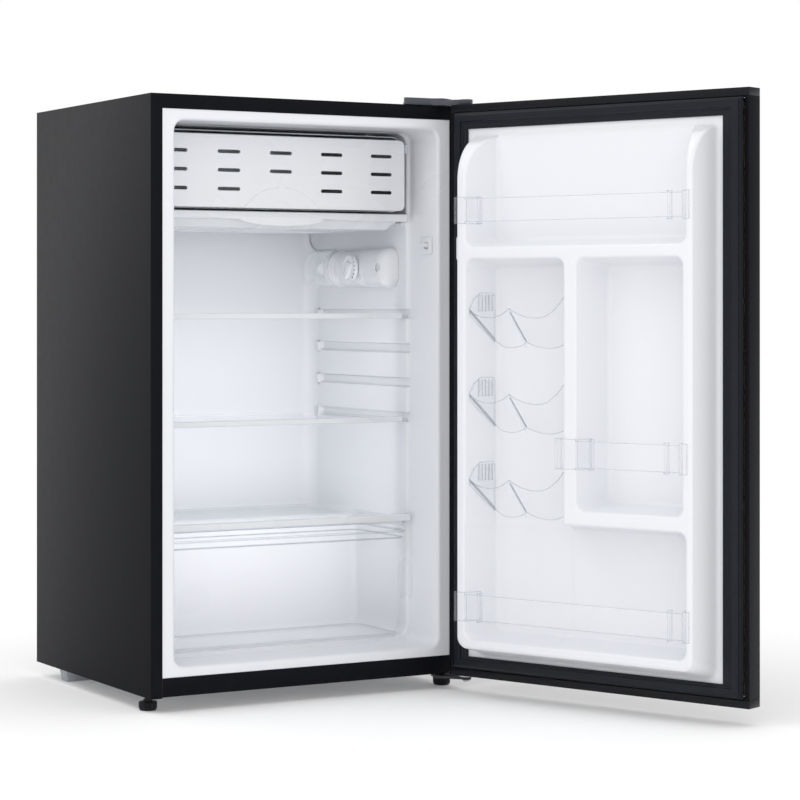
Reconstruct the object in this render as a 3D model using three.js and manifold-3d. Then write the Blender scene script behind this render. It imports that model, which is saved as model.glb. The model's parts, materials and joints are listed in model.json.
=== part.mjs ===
// A single-door compact refrigerator with an ice box, shelves, a crisper drawer and a fitted door.
// Millimetres, +Z up. X runs across the front from the left side, Y runs from the front flange to
// the back, and Z starts at the underside of the cabinet. The finished group is moved so that its
// origin is the middle of its footprint, at floor level. The door stands open at DOOR_ANGLE.

import * as THREE from 'three';
import { mergeVertices } from 'three/addons/utils/BufferGeometryUtils.js';
import Module from 'manifold-3d';

const wasm = await Module();
wasm.setup();

// ---------------------------------------------------------------- driving dimensions
const WIDTH = 485;
const DEPTH = 410;
const HEIGHT = 812;
const FLOOR = -21;
const STEEL = 0.6;
const GAP = 0.3;
const FLANGE_SIDE = 17.5;
const FLANGE_TOP = 20;
const RAIL_HEIGHT = 25.7;
const RAIL_LEG = 20.5;
const PANEL_Y = 407.3;

// White inner liner: a wide zone behind the mouth for the door's inner parts, then the main zone.
const MOUTH = { inset: 34, low: 37, high: 779, radius: 16 };
const FRONT_ZONE = { inset: 36.5, low: 38.5, high: 777.5, radius: 15 };
const MAIN_ZONE = { inset: 42.5, low: 45.6, high: 776, radius: 18 };
const MOUTH_DEPTH = 6;
const STEP_Y = 80;
const BACK_Y = 372;
const SKIN = 2;
const HUMP = { y: 234, z: 213.4 };
const NICHE = { y: 256, z: 190 };

// Shelf grooves in the side walls, counted from the bottom.
const GROOVES = [357.5, 408, 458, 508];
const GROOVE_HEIGHT = 12.5;
const GROOVE_END = 345;
const SHELF_LEVELS = { upper: GROOVES[3], lower: GROOVES[0] };

// Door, described from its hinge edge (u), inward from its inner face (w) and up (z).
const DOOR_ANGLE = 111.8;
const PIN = { x: WIDTH - 10, y: -33, radius: 3.5 };
const DOOR_GAP = 11;
const DOOR_THICK = 33;
const DOOR_LOW = 2.4;
const DOOR_HIGH = 811;
const CAP_HEIGHT = 11;
const DIKE_DEPTH = 56;
const DIKE = { u0: 45, u1: 437, low: 38, high: 762, draft: 6, lowDraft: 14, radius: 16 };
const RIM = { u0: 65, u1: 423 };
const LEDGE = { low: 591, high: 607.5 };
const RIB = { u0: 231, u1: 250 };
const BOTTLE_SHELF = { low: 232.5, high: 251.5 };
const BIN_FLOOR = 65;

// ---------------------------------------------------------------- closed solids and booleans
/** A closed geometry as a manifold solid, with its faces turned outward. */
function solid(geometry) {
  const source = geometry.clone();
  source.deleteAttribute('normal');
  source.deleteAttribute('uv');
  const merged = mergeVertices(source, 1e-4);
  const points = merged.attributes.position.array;
  const corners = [];
  let volume = 0;
  for (let i = 0; i < merged.index.count; i += 3) {
    const [a, b, c] = [0, 1, 2].map((k) => merged.index.getX(i + k));
    if (a === b || b === c || c === a) continue;
    corners.push([a, b, c]);
    const [p, q, r] = [a, b, c].map((k) => new THREE.Vector3().fromArray(points, 3 * k));
    volume += p.dot(q.cross(r));
  }
  const outward = volume < 0 ? corners.map(([a, b, c]) => [a, c, b]) : corners;
  return new wasm.Manifold(new wasm.Mesh({
    numProp: 3,
    vertProperties: Float32Array.from(points),
    triVerts: Uint32Array.from(outward.flat()),
  }));
}

/** Joins any number of solids. */
function join(...solids) {
  return solids.reduce((all, next) => all.add(next));
}

/** Cuts any number of tools out of a solid. */
function cut(base, ...tools) {
  return tools.reduce((rest, tool) => rest.subtract(tool), base);
}

/** A box from its low and high faces on each axis. */
function box(x0, x1, y0, y1, z0, z1) {
  const shape = new THREE.BoxGeometry(x1 - x0, y1 - y0, z1 - z0);
  return solid(shape.translate((x0 + x1) / 2, (y0 + y1) / 2, (z0 + z1) / 2));
}

/** A flat outline pushed along an axis: points are (x, y) for z, (x, z) for y and (y, z) for x. */
function prism(outline, axis, from, to) {
  const shape = new THREE.Shape(outline.map(([a, b]) => new THREE.Vector2(a, b)));
  const geometry = new THREE.ExtrudeGeometry(shape, { depth: to - from, bevelEnabled: false });
  const turn = {
    x: [[0, 1, 0], [0, 0, 1], [1, 0, 0]],
    y: [[1, 0, 0], [0, 0, 1], [0, -1, 0]],
    z: [[1, 0, 0], [0, 1, 0], [0, 0, 1]],
  }[axis].map((column) => new THREE.Vector3(...column));
  geometry.applyMatrix4(new THREE.Matrix4().makeBasis(...turn));
  const shift = { x: [from, 0, 0], y: [0, to, 0], z: [0, 0, from] }[axis];
  return solid(geometry.translate(...shift));
}

/** A profile of (radius, height) pairs turned about an axis through a centre. */
function turned(profile, axis, centre, sides = 20) {
  const points = profile.map(([r, h]) => new THREE.Vector2(r, h));
  const geometry = new THREE.LatheGeometry(points, sides);
  if (axis === 'z') geometry.rotateX(Math.PI / 2);
  if (axis === 'x') geometry.rotateZ(-Math.PI / 2);
  return solid(geometry.translate(...centre));
}

/** A plain round bar along an axis. */
function bar(axis, centre, radius, from, to, sides = 16) {
  return turned([[0, from], [radius, from], [radius, to], [0, to]], axis, centre, sides);
}

/** A round tube along a smooth path. */
function tube(path, radius, steps, sides = 6) {
  const ring = Array.from({ length: sides }, (_, i) => (2 * Math.PI * i) / sides);
  const section = new THREE.Shape(
    ring.map((a) => new THREE.Vector2(radius * Math.cos(a), radius * Math.sin(a))));
  const curve = new THREE.CatmullRomCurve3(path.map((p) => new THREE.Vector3(...p)), false, 'centripetal');
  return solid(new THREE.ExtrudeGeometry(section, { steps, extrudePath: curve }));
}

/** Corner-rounded rectangle as a list of points, anticlockwise. */
function roundRect(a0, a1, b0, b1, radius, steps = 4) {
  const corners = [[a1, b1, 0], [a0, b1, 1], [a0, b0, 2], [a1, b0, 3]];
  return corners.flatMap(([a, b, quarter]) => {
    const centre = [a + (a === a1 ? -radius : radius), b + (b === b1 ? -radius : radius)];
    return Array.from({ length: steps + 1 }, (_, i) => {
      const angle = ((quarter + i / steps) * Math.PI) / 2;
      return [centre[0] + radius * Math.cos(angle), centre[1] + radius * Math.sin(angle)];
    });
  });
}

/** A closed body through rings of 3-D points, with flat caps; flat() gives a cap's 2-D points. */
function loft(rings, flat) {
  const count = rings[0].length;
  const index = [];
  for (let ring = 0; ring + 1 < rings.length; ring++) {
    for (let i = 0; i < count; i++) {
      const a = ring * count + i;
      const b = ring * count + ((i + 1) % count);
      index.push(a, b, b + count, a, b + count, a + count);
    }
  }
  const cap = (ring, offset, reverse) => {
    const contour = ring.map((p) => new THREE.Vector2(...flat(p)));
    const turn = Math.sign(THREE.ShapeUtils.area(contour));
    for (const face of THREE.ShapeUtils.triangulateShape(contour, [])) {
      const same = Math.sign(THREE.ShapeUtils.area(face.map((k) => contour[k]))) === turn;
      const ordered = same === reverse ? [...face].reverse() : face;
      index.push(...ordered.map((k) => k + offset));
    }
  };
  cap(rings[0], 0, true);
  cap(rings[rings.length - 1], (rings.length - 1) * count, false);
  const geometry = new THREE.BufferGeometry();
  geometry.setAttribute('position', new THREE.Float32BufferAttribute(rings.flat(2), 3));
  geometry.setIndex(index);
  return solid(geometry);
}

/** Rings of (x, y) points at heights z, lofted upward. */
function loftUp(levels) {
  return loft(levels.map(([z, ring]) => ring.map(([x, y]) => [x, y, z])), (p) => [p[0], p[1]]);
}

/** Rings of (x, z) points at depths y, lofted backward. */
function loftBack(levels) {
  return loft(levels.map(([y, ring]) => ring.map(([x, z]) => [x, y, z])), (p) => [p[0], p[2]]);
}

// ---------------------------------------------------------------- assembly helpers
const PAINT = { color: 0x2b2c30, roughness: 0.42, metalness: 0.1 };
const BARE_STEEL = { color: 0xa9abb0, roughness: 0.38, metalness: 0.9 };
const COPPER = { color: 0xb0714a, roughness: 0.35, metalness: 0.9 };
const ALUMINIUM = { color: 0xe2e4e8, roughness: 0.45, metalness: 0.3 };
const LINER_WHITE = { color: 0xe9ebef, roughness: 0.35, metalness: 0 };
const WHITE = { color: 0xeceef1, roughness: 0.4, metalness: 0 };
const BLACK_PLASTIC = { color: 0x1d1e24, roughness: 0.5, metalness: 0 };
const GREY_PLASTIC = { color: 0x8d9099, roughness: 0.5, metalness: 0 };
const GASKET = { color: 0x2a2f38, roughness: 0.6, metalness: 0 };
const RUBBER = { color: 0x15161a, roughness: 0.8, metalness: 0 };
const FOAM = { color: 0xe8d9a8, roughness: 0.9, metalness: 0 };
const CLEAR = { color: 0xdfe6ea, roughness: 0.08, metalness: 0, transparent: true, opacity: 0.35 };
const ENAMEL = { color: 0x141519, roughness: 0.5, metalness: 0.3 };

/** Adds one named piece to a group. */
function add(group, name, body, look) {
  const { vertProperties, triVerts } = body.getMesh();
  const geometry = new THREE.BufferGeometry();
  geometry.setAttribute('position', new THREE.Float32BufferAttribute(vertProperties, 3));
  geometry.setIndex(Array.from(triVerts));
  const mesh = new THREE.Mesh(geometry, new THREE.MeshStandardMaterial(look));
  mesh.name = name;
  group.add(mesh);
}

/** A copy of a solid reflected to the other side of the cabinet's middle plane. */
function mirrored(body) {
  return body.mirror([1, 0, 0]).translate([WIDTH, 0, 0]);
}

// ---------------------------------------------------------------- cabinet casing
/** Painted steel wrap: left side, top and right side with the front flange folded in. */
function cabinetShell() {
  const lip = box(STEEL / 2, 13, 60, 250, -1.5, -0.9);
  return join(
    cut(
      box(0, WIDTH, 0, DEPTH, -1.5, HEIGHT),
      box(STEEL, WIDTH - STEEL, STEEL, DEPTH + 1, -3, HEIGHT - STEEL),
      box(FLANGE_SIDE, WIDTH - FLANGE_SIDE, -1, STEEL + 1, -3, HEIGHT - FLANGE_TOP),
    ),
    lip,
    mirrored(lip),
  );
}

/** Steel rail under the door opening, an angle with its lower leg turned back. */
function frontRail() {
  const [left, right] = [FLANGE_SIDE + GAP, WIDTH - FLANGE_SIDE - GAP];
  return join(
    box(left, right, 0, STEEL, 0, RAIL_HEIGHT),
    box(left, right, STEEL / 2, RAIL_LEG, 0, STEEL),
  );
}

/** Bottom sheet, stepped up over the compressor niche, with holes for the levelling feet. */
function basePanel() {
  const [front, back] = [RAIL_LEG + 0.5, PANEL_Y - GAP];
  const outline = [
    [front, 0], [NICHE.y, 0], [NICHE.y, NICHE.z], [back, NICHE.z], [back, NICHE.z + STEEL],
    [NICHE.y - STEEL, NICHE.z + STEEL], [NICHE.y - STEEL, STEEL], [front, STEEL],
  ];
  const sheet = prism(outline, 'x', STEEL + GAP, WIDTH - STEEL - GAP);
  return cut(sheet, ...FOOT_CENTRES.map(([x, y]) => bar('z', [x, y, 0], FOOT.thread + 0.4, -2, 3)));
}

/** Back sheet with three pressed stiffening bands. */
function backPanel() {
  const [left, right] = [STEEL + GAP, WIDTH - STEEL - GAP];
  const top = HEIGHT - STEEL - GAP;
  const thick = 0.8;
  const [side, height] = [40, 70];
  const band = (z, inset) => box(side + inset, WIDTH - side - inset, PANEL_Y - thick, DEPTH - 0.2 - inset,
    z + inset, z + height - inset);
  const bands = [265, 465, 665];
  const sheet = box(left, right, PANEL_Y, PANEL_Y + thick, NICHE.z + STEEL + GAP, top);
  return cut(
    join(sheet, ...bands.map((z) => band(z, 0))),
    ...bands.map((z) => band(z, thick)),
    box(0, WIDTH, PANEL_Y - 2, PANEL_Y, 0, HEIGHT),
  );
}

/** The space a zone of the liner encloses, as an outline seen from the front. */
function zoneOutline(zone, grow = 0) {
  return roundRect(zone.inset - grow, WIDTH - zone.inset + grow, zone.low - grow, zone.high + grow,
    zone.radius + grow);
}

/** Both sides' groove blocks at every shelf level. */
function grooveBlocks(grow, from, to) {
  return GROOVES.flatMap((z) => {
    const left = box(FRONT_ZONE.inset - grow, MAIN_ZONE.inset + 1, from, to,
      z - grow, z + GROOVE_HEIGHT + grow);
    return [left, mirrored(left)];
  });
}

/** Everything the liner takes up, grown by an allowance; the foam is cut with it. */
function linerBody(grow) {
  const skin = SKIN + grow;
  const body = join(
    box(FLANGE_SIDE + GAP, WIDTH - FLANGE_SIDE - GAP, GAP, GAP + 2 + grow,
      RAIL_HEIGHT + GAP, HEIGHT - FLANGE_TOP - GAP),
    prism(zoneOutline(MOUTH, skin), 'y', 1, STEP_Y + skin),
    prism(zoneOutline(MAIN_ZONE, skin), 'y', STEP_Y, BACK_Y + skin),
    ...grooveBlocks(skin, STEP_Y, GROOVE_END + skin),
  );
  return cut(body, box(0, WIDTH, HUMP.y + skin, DEPTH, 0, HUMP.z - skin));
}

const SWITCH = { y: 31, z: 612.5 };

/** Vacuum-formed white liner with shelf grooves, stops, ledges and the compressor hump. */
function innerLiner() {
  const space = join(
    loftBack([[-1, zoneOutline(MOUTH)], [MOUTH_DEPTH, zoneOutline(FRONT_ZONE)]]),
    prism(zoneOutline(FRONT_ZONE), 'y', MOUTH_DEPTH - 0.5, STEP_Y),
    prism(zoneOutline(MAIN_ZONE), 'y', STEP_Y - 1, BACK_Y),
    ...grooveBlocks(0, STEP_Y - 1, GROOVE_END),
  );
  const hump = box(0, WIDTH, HUMP.y, DEPTH, 0, HUMP.z);
  const stops = GROOVES.map((z) => box(MAIN_ZONE.inset - 1, MAIN_ZONE.inset + 6,
    GROOVE_END, GROOVE_END + 7, z - 2, z + GROOVE_HEIGHT + 1));
  const trayLedge = box(MAIN_ZONE.inset - 1, 49.5, 84, 345, 643, TRAY.low - GAP);
  const coverLedge = box(MAIN_ZONE.inset - 1, 48.5, 84, HUMP.y + 1, HUMP.z - 7, HUMP.z);
  const rights = [...stops, trayLedge, coverLedge];
  return cut(
    join(cut(linerBody(0), cut(space, hump)), ...rights, ...rights.map(mirrored)),
    box(440, 460, SWITCH.y - 11.5, SWITCH.y + 11.5, SWITCH.z - 9.5, SWITCH.z + 9.5),
  );
}

/** Insulation foamed between the steel and the liner. */
function cabinetFoam() {
  const side = 7.5;
  const block = box(side, WIDTH - side, STEEL + 1.7, PANEL_Y - GAP, STEEL + GAP, HEIGHT - STEEL - GAP);
  return cut(
    block,
    linerBody(GAP),
    prism(zoneOutline(FRONT_ZONE), 'y', 0, STEP_Y),
    prism(zoneOutline(MAIN_ZONE), 'y', STEP_Y - 5, BACK_Y),
    box(0, WIDTH, NICHE.y - STEEL - GAP, DEPTH, 0, NICHE.z + STEEL + GAP),
    box(440, 467, SWITCH.y - 11.5, SWITCH.y + 11.5, SWITCH.z - 9.5, SWITCH.z + 9.5),
    ...FOOT_CENTRES.map(([x, y]) => bar('z', [x, y, 0], 7, 0, 16, 10)),
  );
}

// ---------------------------------------------------------------- feet
const FOOT = { radius: 12.5, thread: 4, height: 13 };
const FOOT_CENTRES = [[12.5, 37], [WIDTH - 12.5, 31]];

/** Levelling foot: knurled pad, shank and thread, seen from below as one turned piece. */
function levellingFoot([x, y]) {
  const profile = [
    [0, FLOOR], [FOOT.radius - 1.5, FLOOR], [FOOT.radius, FLOOR + 1.5],
    [FOOT.radius, FLOOR + FOOT.height - 1.5], [FOOT.radius - 2, FLOOR + FOOT.height],
    [6.75, FLOOR + FOOT.height], [6.75, -1.9], [FOOT.thread, -1.9], [FOOT.thread, 12], [0, 12],
  ];
  return turned(profile, 'z', [x, y, 0], 24);
}

/** Rear foot: a moulded block that narrows downward. */
function rearFoot() {
  return loftUp([
    [FLOOR, roundRect(13, 52, 323, 347, 3, 2)],
    [-GAP, roundRect(10, 55, 320, 350, 3, 2)],
  ]);
}

// ---------------------------------------------------------------- cooling machinery
const COMPRESSOR = { x: 165, y: 332, radius: 56 };

/** Steel plate that carries the compressor, turned up at the back. */
function compressorBase() {
  const [left, right] = [STEEL + GAP, WIDTH - STEEL - GAP];
  return cut(
    join(box(left, right, NICHE.y + GAP, 406, 0, 1.5), box(left, right, 404.5, 406, 0.5, 22)),
    bar('y', [CORD_INLET.x, 0, CORD_INLET.z], 7.4, 403, 408, 16),
  );
}

/** Hermetic compressor: a domed pot on a flat foot plate. */
function compressor() {
  const { x, y, radius } = COMPRESSOR;
  const pot = [
    [0, 18], [radius * 0.7, 18], [radius * 0.95, 30], [radius, 48], [radius, 78],
    [radius + 3, 79], [radius + 3, 83], [radius, 84], [radius, 110],
    [radius * 0.9, 128], [radius * 0.62, 140], [radius * 0.3, 145], [0, 146],
  ];
  return join(
    turned(pot, 'z', [x, y, 0], 28),
    box(x - 70, x + 70, y - 48, y + 48, 14, 19),
  );
}

/** Terminal cover clipped to the compressor's side. */
function relayBox() {
  const { x, y, radius } = COMPRESSOR;
  const block = box(x + radius - 10, x + radius + 34, y - 24, y + 24, 62, 112);
  return cut(block, bar('z', [x, y, 0], radius + 3.4, 50, 120, 28));
}

/** Rubber grommet between the compressor's foot plate and the base. */
function grommet(sideX, sideY) {
  const { x, y } = COMPRESSOR;
  return bar('z', [x + sideX * 58, y + sideY * 36, 0], 9, 1.8, 13.7, 12);
}

/** Shallow pan above the compressor that collects and evaporates the defrost water. */
function evaporationPan() {
  const ring = (grow) => roundRect(90 - grow, 240 + grow, 268 - grow, 396 + grow, 8, 2);
  return loftUp([[150, ring(0)], [172, ring(5)], [172, ring(3)], [152, ring(-2)]]);
}

/** Filter drier: a copper cylinder with necked ends. */
function filterDrier() {
  const profile = [[0, 30], [2.5, 30], [2.5, 40], [9, 48], [9, 108], [2.5, 118], [2.5, 130], [0, 130]];
  return turned(profile, 'z', [300, 380, 0], 12);
}

/** Tube from the compressor to the condenser in the left side wall. */
function dischargeTube() {
  const path = [[108, 332, 60], [92, 332, 62], [70, 340, 80], [40, 350, 120], [30, 360, 160], [30, 372, 186]];
  return tube(path, 2.5, 20);
}

/** Suction tube that brings the gas back down to the compressor. */
function suctionTube() {
  const path = [[165, 390, 70], [165, 397, 72], [230, 398, 90], [265, 390, 130], [270, 380, 160],
    [270, 372, 186]];
  return tube(path, 3, 20);
}

/** Condenser: one serpentine of tube against the inside of a side panel. */
function condenser() {
  const [low, high] = [NICHE.z + 25, 740];
  const runs = [60, 140, 220, 300, 380];
  const path = runs.flatMap((y, i) => {
    const ends = i % 2 ? [high, low] : [low, high];
    const rise = (ends[1] - ends[0]) / 3;
    return [0, 1, 2, 3].map((k) => [4.4, y, ends[0] + k * rise]);
  });
  return tube(path, 2.2, 56);
}

const CORD_INLET = { x: 400, z: 11.5 };

/** Grommet in the base's rear lip, where the supply cord enters. */
function cordInlet() {
  const profile = [[0, 396], [9, 396], [9, 404.2], [7, 404.2], [7, 406.3], [9.5, 406.3], [9.5, 409],
    [0, 409]];
  return turned(profile, 'y', [CORD_INLET.x, 0, CORD_INLET.z], 16);
}

// ---------------------------------------------------------------- ice box and drip tray
const FLAP = { x0: 40.5, x1: 429.5, low: 663, high: 765, y0: 62, y1: 72, pivot: 752.5 };
const FLAP_SLOTS = { first: 48.7, pitch: 81.1, length: 34.5, height: 6, rows: [738, 712, 686], columns: 5 };
const SCOOP = { x: 229.4, z: 619.2, radius: 73.4 };
const ICE_BOX = { x0: 47, x1: WIDTH - 47, y0: 90, y1: 358, low: 662, high: 772 };

/** Aluminium ice box (the evaporator), open at the front and hung from the liner's ceiling. */
function iceBox() {
  const { x0, x1, y0, y1, low, high } = ICE_BOX;
  const wall = 1.6;
  const hangers = [[x0 + 30, 120], [x1 - 42, 120], [x0 + 30, 310], [x1 - 42, 310]].map(
    ([x, y]) => box(x, x + 12, y, y + 12, high - 1, MAIN_ZONE.high - GAP));
  const earPlan = [[FLAP.x1 + 0.6, 63], [FLAP.x1 + 4, 63], [FLAP.x1 + 4, 84], [x1, 91], [x1, 98],
    [x1 - wall, 98], [x1 - wall, 92.5], [FLAP.x1 + 0.6, 85.5]];
  const ear = cut(
    prism(earPlan, 'z', FLAP.pivot - 6, FLAP.pivot + 6),
    bar('x', [0, (FLAP.y0 + FLAP.y1) / 2, FLAP.pivot], 2.1, FLAP.x1, x1, 12),
  );
  return join(
    ear,
    cut(
      prism(roundRect(x0, x1, low, high, 14), 'y', y0, y1),
      prism(roundRect(x0 + wall, x1 - wall, low + wall, high - wall, 14 - wall), 'y', y0 - 1, y1 - wall),
    ),
    ...hangers,
  );
}

/** Ice box flap: a shallow moulded dish with vent slots, a thumb scoop and two pivot pins. */
function iceBoxFlap() {
  const { x0, x1, low, high, y0, y1, pivot } = FLAP;
  const slots = FLAP_SLOTS.rows.flatMap((z, row) =>
    Array.from({ length: FLAP_SLOTS.columns }, (_, column) => column)
      .filter((column) => row < 2 || column !== 2)
      .map((column) => {
        const left = FLAP_SLOTS.first + column * FLAP_SLOTS.pitch;
        const outline = roundRect(left, left + FLAP_SLOTS.length, z, z + FLAP_SLOTS.height, 2.9, 3);
        return prism(outline, 'y', y0 - 1, y0 + 4);
      }));
  const [wall, corner] = [2.5, 9];
  const dish = cut(
    prism(roundRect(x0, x1, low, high, corner), 'y', y0, y1),
    prism(roundRect(x0 + wall, x1 - wall, low + wall, high - wall, corner - wall), 'y', y0 + wall, y1 + 1),
    bar('y', [SCOOP.x, 0, SCOOP.z], SCOOP.radius, y0 - 1, y0 + 1, 72),
    ...slots,
  );
  const middle = (y0 + y1) / 2;
  return join(
    dish,
    bar('x', [0, middle, pivot], 1.9, FRONT_ZONE.inset + GAP, x0 + 1, 12),
    bar('x', [0, middle, pivot], 1.9, x1 - 1, x1 + 3.5, 12),
  );
}

const TRAY = { low: 648, high: 659, front: 74.5, back: 352, x0: 43.5, x1: WIDTH - 43.5 };

/** Drip tray under the ice box: a shallow dish in a flange with a tall front rim and a pull. */
function dripTray() {
  const { low, high, front, back, x0, x1 } = TRAY;
  const ring = (inset) => roundRect(53 + inset, WIDTH - 53 - inset, 84 + inset, 342 - inset, 10, 3);
  const dish = loftUp([[low - 12, ring(10)], [low, ring(0)], [low + 2, ring(0)],
    [low + 2, ring(2)], [low, ring(2)], [low - 10, ring(11.5)]]);
  const flange = cut(
    box(x0, x1, front + 1, back, low, low + 2),
    prism(ring(1), 'z', low - 1, low + 3),
  );
  const pullArc = Array.from({ length: 13 }, (_, i) => {
    const angle = Math.PI + (Math.PI * i) / 12;
    return [240 + 69.5 * Math.cos(angle), low + 1 + 9.5 * Math.sin(angle)];
  });
  return join(
    dish,
    flange,
    prism(roundRect(x0, x1, low, high, 3, 2), 'y', front, front + 2.5),
    prism(pullArc, 'y', front, front + 2.5),
  );
}

// ---------------------------------------------------------------- shelves and crisper
/** Glass plate that slides in the grooves at a level. */
function shelfGlass(level) {
  const side = FRONT_ZONE.inset + 1.6;
  return box(side, WIDTH - side, 84, GROOVE_END - 2, level + 0.5, level + 4.5);
}

/** White strip clipped over a plate's front edge. */
function shelfTrim(low, high, x0, x1, y0, y1, glassLow) {
  const outline = roundRect(y0, y1, low, high, 1.6, 2);
  return cut(
    prism(outline, 'x', x0, x1),
    box(x0 - 1, x1 + 1, y0 + 4 - GAP, y1 + 1, glassLow - GAP, glassLow + 4 + GAP),
  );
}

const COVER = { front: 70, low: HUMP.z + 0.4, high: HUMP.z + 10, glassLow: HUMP.z + GAP + 0.6 };

/** Glass cover over the crisper, lying on the side ledges and the hump. */
function crisperCoverGlass() {
  const front = box(47, WIDTH - 47, COVER.front + 4, 90, COVER.glassLow, COVER.glassLow + 4);
  return join(
    front,
    box(MAIN_ZONE.inset + 0.8, WIDTH - MAIN_ZONE.inset - 0.8, 84, 366, COVER.glassLow, COVER.glassLow + 4),
  );
}

/** Clear tapered crisper drawer with a stepped collar and a raised band across its front. */
function crisperDrawer() {
  const ring = (z, x0, x1, y0, y1, inset) =>
    [z, roundRect(x0 + inset, x1 - inset, y0 + inset, y1 - inset, 14 - inset)];
  const wall = 2.2;
  const floor = [54, 431, 76, 206];
  const shoulder = [47, 438, 71, 221];
  const collar = [44.5, 440.5, 69, 224];
  const body = loftUp([
    ring(MAIN_ZONE.low + GAP, ...floor, 5), ring(MAIN_ZONE.low + 7, ...floor, 0),
    ring(197, ...shoulder, 0), ring(199, ...collar, 0), ring(205.5, ...collar, 0),
    ring(205.5, ...collar, wall), ring(200, ...collar, wall), ring(198, ...shoulder, wall),
    ring(MAIN_ZONE.low + 9, ...floor, wall), ring(MAIN_ZONE.low + 3, ...floor, 7),
  ]);
  const [x0, x1, y0] = collar;
  const plan = (inset) => roundRect(x0 + inset, x1 - inset, y0 + inset, y0 + 40 + inset, 14 - inset);
  const band = cut(
    prism(plan(0), 'z', 204.5, HUMP.z - 0.2),
    prism(plan(wall), 'z', 203, HUMP.z + 1),
    box(0, WIDTH, y0 + 14, y0 + 60, 200, 220),
  );
  return join(body, band);
}

// ---------------------------------------------------------------- thermostat, lamp and door switch
const CONTROL = { wall: WIDTH - MAIN_ZONE.inset - GAP, z: 582, knobY: 190, lampX: 429.5 };

/** Outline of the control housing at one station: straight at its base, bulging into the cabinet. */
function bulge(depth, half, base = 0) {
  return Array.from({ length: 13 }, (_, i) => {
    const angle = (Math.PI * (i - 6)) / 12;
    const fullness = Math.abs(Math.cos(angle)) ** 0.55;
    const x = CONTROL.wall - base - (depth - base) * fullness;
    return [x, CONTROL.z + half * Math.sin(angle)];
  });
}

/** White housing of the thermostat, hollow towards the wall, with a stepped neck for the lamp. */
function controlHousing() {
  const stations = [[102, 3, 24], [105, 13, 27.5], [112, 21, 29], [124, 27, 29.5], [136, 28.5, 29.5],
    [252, 29, 28.5], [254, 26.5, 26.5], [262, 26.5, 26.5], [263, 28, 27.5], [266, 28, 27.5],
    [267, 26, 26], [284, 26, 26]];
  const outer = stations.map(([y, depth, half]) => [y, bulge(depth, half)]);
  const wall = 2;
  const inner = stations.slice(2).map(([y, depth, half]) =>
    [Math.min(y, 284 - wall), bulge(depth - wall, half - wall, -5)]);
  return cut(
    loftBack(outer),
    loftBack(inner),
    bar('x', [0, CONTROL.knobY, CONTROL.z], 3.6, 400, 430, 12),
    bar('x', [0, 118, CONTROL.z], 4, 400, 430, 12),
    bar('y', [CONTROL.lampX, 0, CONTROL.z], 9, 278, 290, 16),
  );
}

/** Thermostat body with its control shaft. */
function thermostat() {
  return join(
    box(421, CONTROL.wall - 1, CONTROL.knobY - 18, CONTROL.knobY + 18, 564, 600),
    bar('x', [0, CONTROL.knobY, CONTROL.z], 3, 410, 422, 12),
  );
}

/** Temperature knob: a dial with a raised grip across it. */
function knob() {
  const dial = turned([[0, 406], [18, 406], [19.5, 407.5], [19.5, 412.8], [0, 412.8]], 'x',
    [0, CONTROL.knobY, CONTROL.z], 32);
  const grip = box(401.5, 407, CONTROL.knobY - 4, CONTROL.knobY + 4, CONTROL.z - 17, CONTROL.z + 17);
  return cut(join(dial, grip), bar('x', [0, CONTROL.knobY, CONTROL.z], 3.3, 409.7, 414, 12));
}

/** Interior lamp: screw base and pear-shaped bulb. */
function lamp() {
  const profile = [[0, 262], [5, 262], [7, 265], [7, 290], [9, 299], [9, 314], [6, 321], [0, 323]];
  return turned(profile, 'y', [CONTROL.lampX, 0, CONTROL.z], 16);
}

/** Clear cover over the lamp, a thin cup that opens towards the housing. */
function lampCover() {
  const shell = [[368, 9, 10], [365, 18, 18], [354, 24.5, 24.5], [286, 27, 27]];
  const outer = shell.map(([y, depth, half]) => [y, bulge(depth, half)]);
  const inner = [...shell].reverse().map(([y, depth, half]) =>
    [Math.min(y, 366.4), bulge(depth - 1.6, half - 1.6, 1.6)]);
  return loftBack([...outer, ...inner]);
}

/** Thin sensing tube from the thermostat up the back to the ice box. */
function sensingTube() {
  return tube([[430, 272, 610.2], [431, 300, 610.8], [434, 345, 612], [434, 362, 622], [433, 366, 650],
    [432, 366, 700]], 1.4, 18);
}

/** Body of the door switch, let into the side wall behind a small square plate. */
function switchHousing() {
  const { y, z } = SWITCH;
  return cut(
    join(
      box(446.4, WIDTH - FRONT_ZONE.inset - GAP, y - 15, y + 15, z - 12.5, z + 12.5),
      box(447, 464, y - 11, y + 11, z - 9, z + 9),
    ),
    box(440, 462, y - 5, y + 5, z - 4.5, z + 4.5),
  );
}

/** Spring plunger of the door switch. */
function switchPlunger() {
  const { y, z } = SWITCH;
  const outline = [[438, y - 2], [438, y + 3], [441, y + 4.5], [455, y + 4.5], [455, y - 4.5],
    [441, y - 4.5]];
  return prism(outline, 'z', z - 4, z + 4);
}

// ---------------------------------------------------------------- hinges
/** Outline of an arm from the cabinet's front corner out to the pin, seen from above. */
function hingeArm(grow, left, back) {
  const { x, y } = PIN;
  const reach = 7.5 + grow;
  const nose = Array.from({ length: 9 }, (_, i) => {
    const angle = Math.PI + (Math.PI * i) / 8 - 0.25;
    return [x + reach * Math.cos(angle), y + reach * Math.sin(angle)];
  });
  return [[left - grow, back + grow], [left - grow, -grow], [438, -3 - grow], [457, -19 - grow],
    ...nose, [WIDTH - 3 + grow / 2, y + 9], [WIDTH - 3 + grow / 2, back + grow]];
}

const TOP_PLATE = { left: 418, back: 36, thick: 3 };
const TOP_SCREWS = [[430, 18], [466, 18]];

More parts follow.
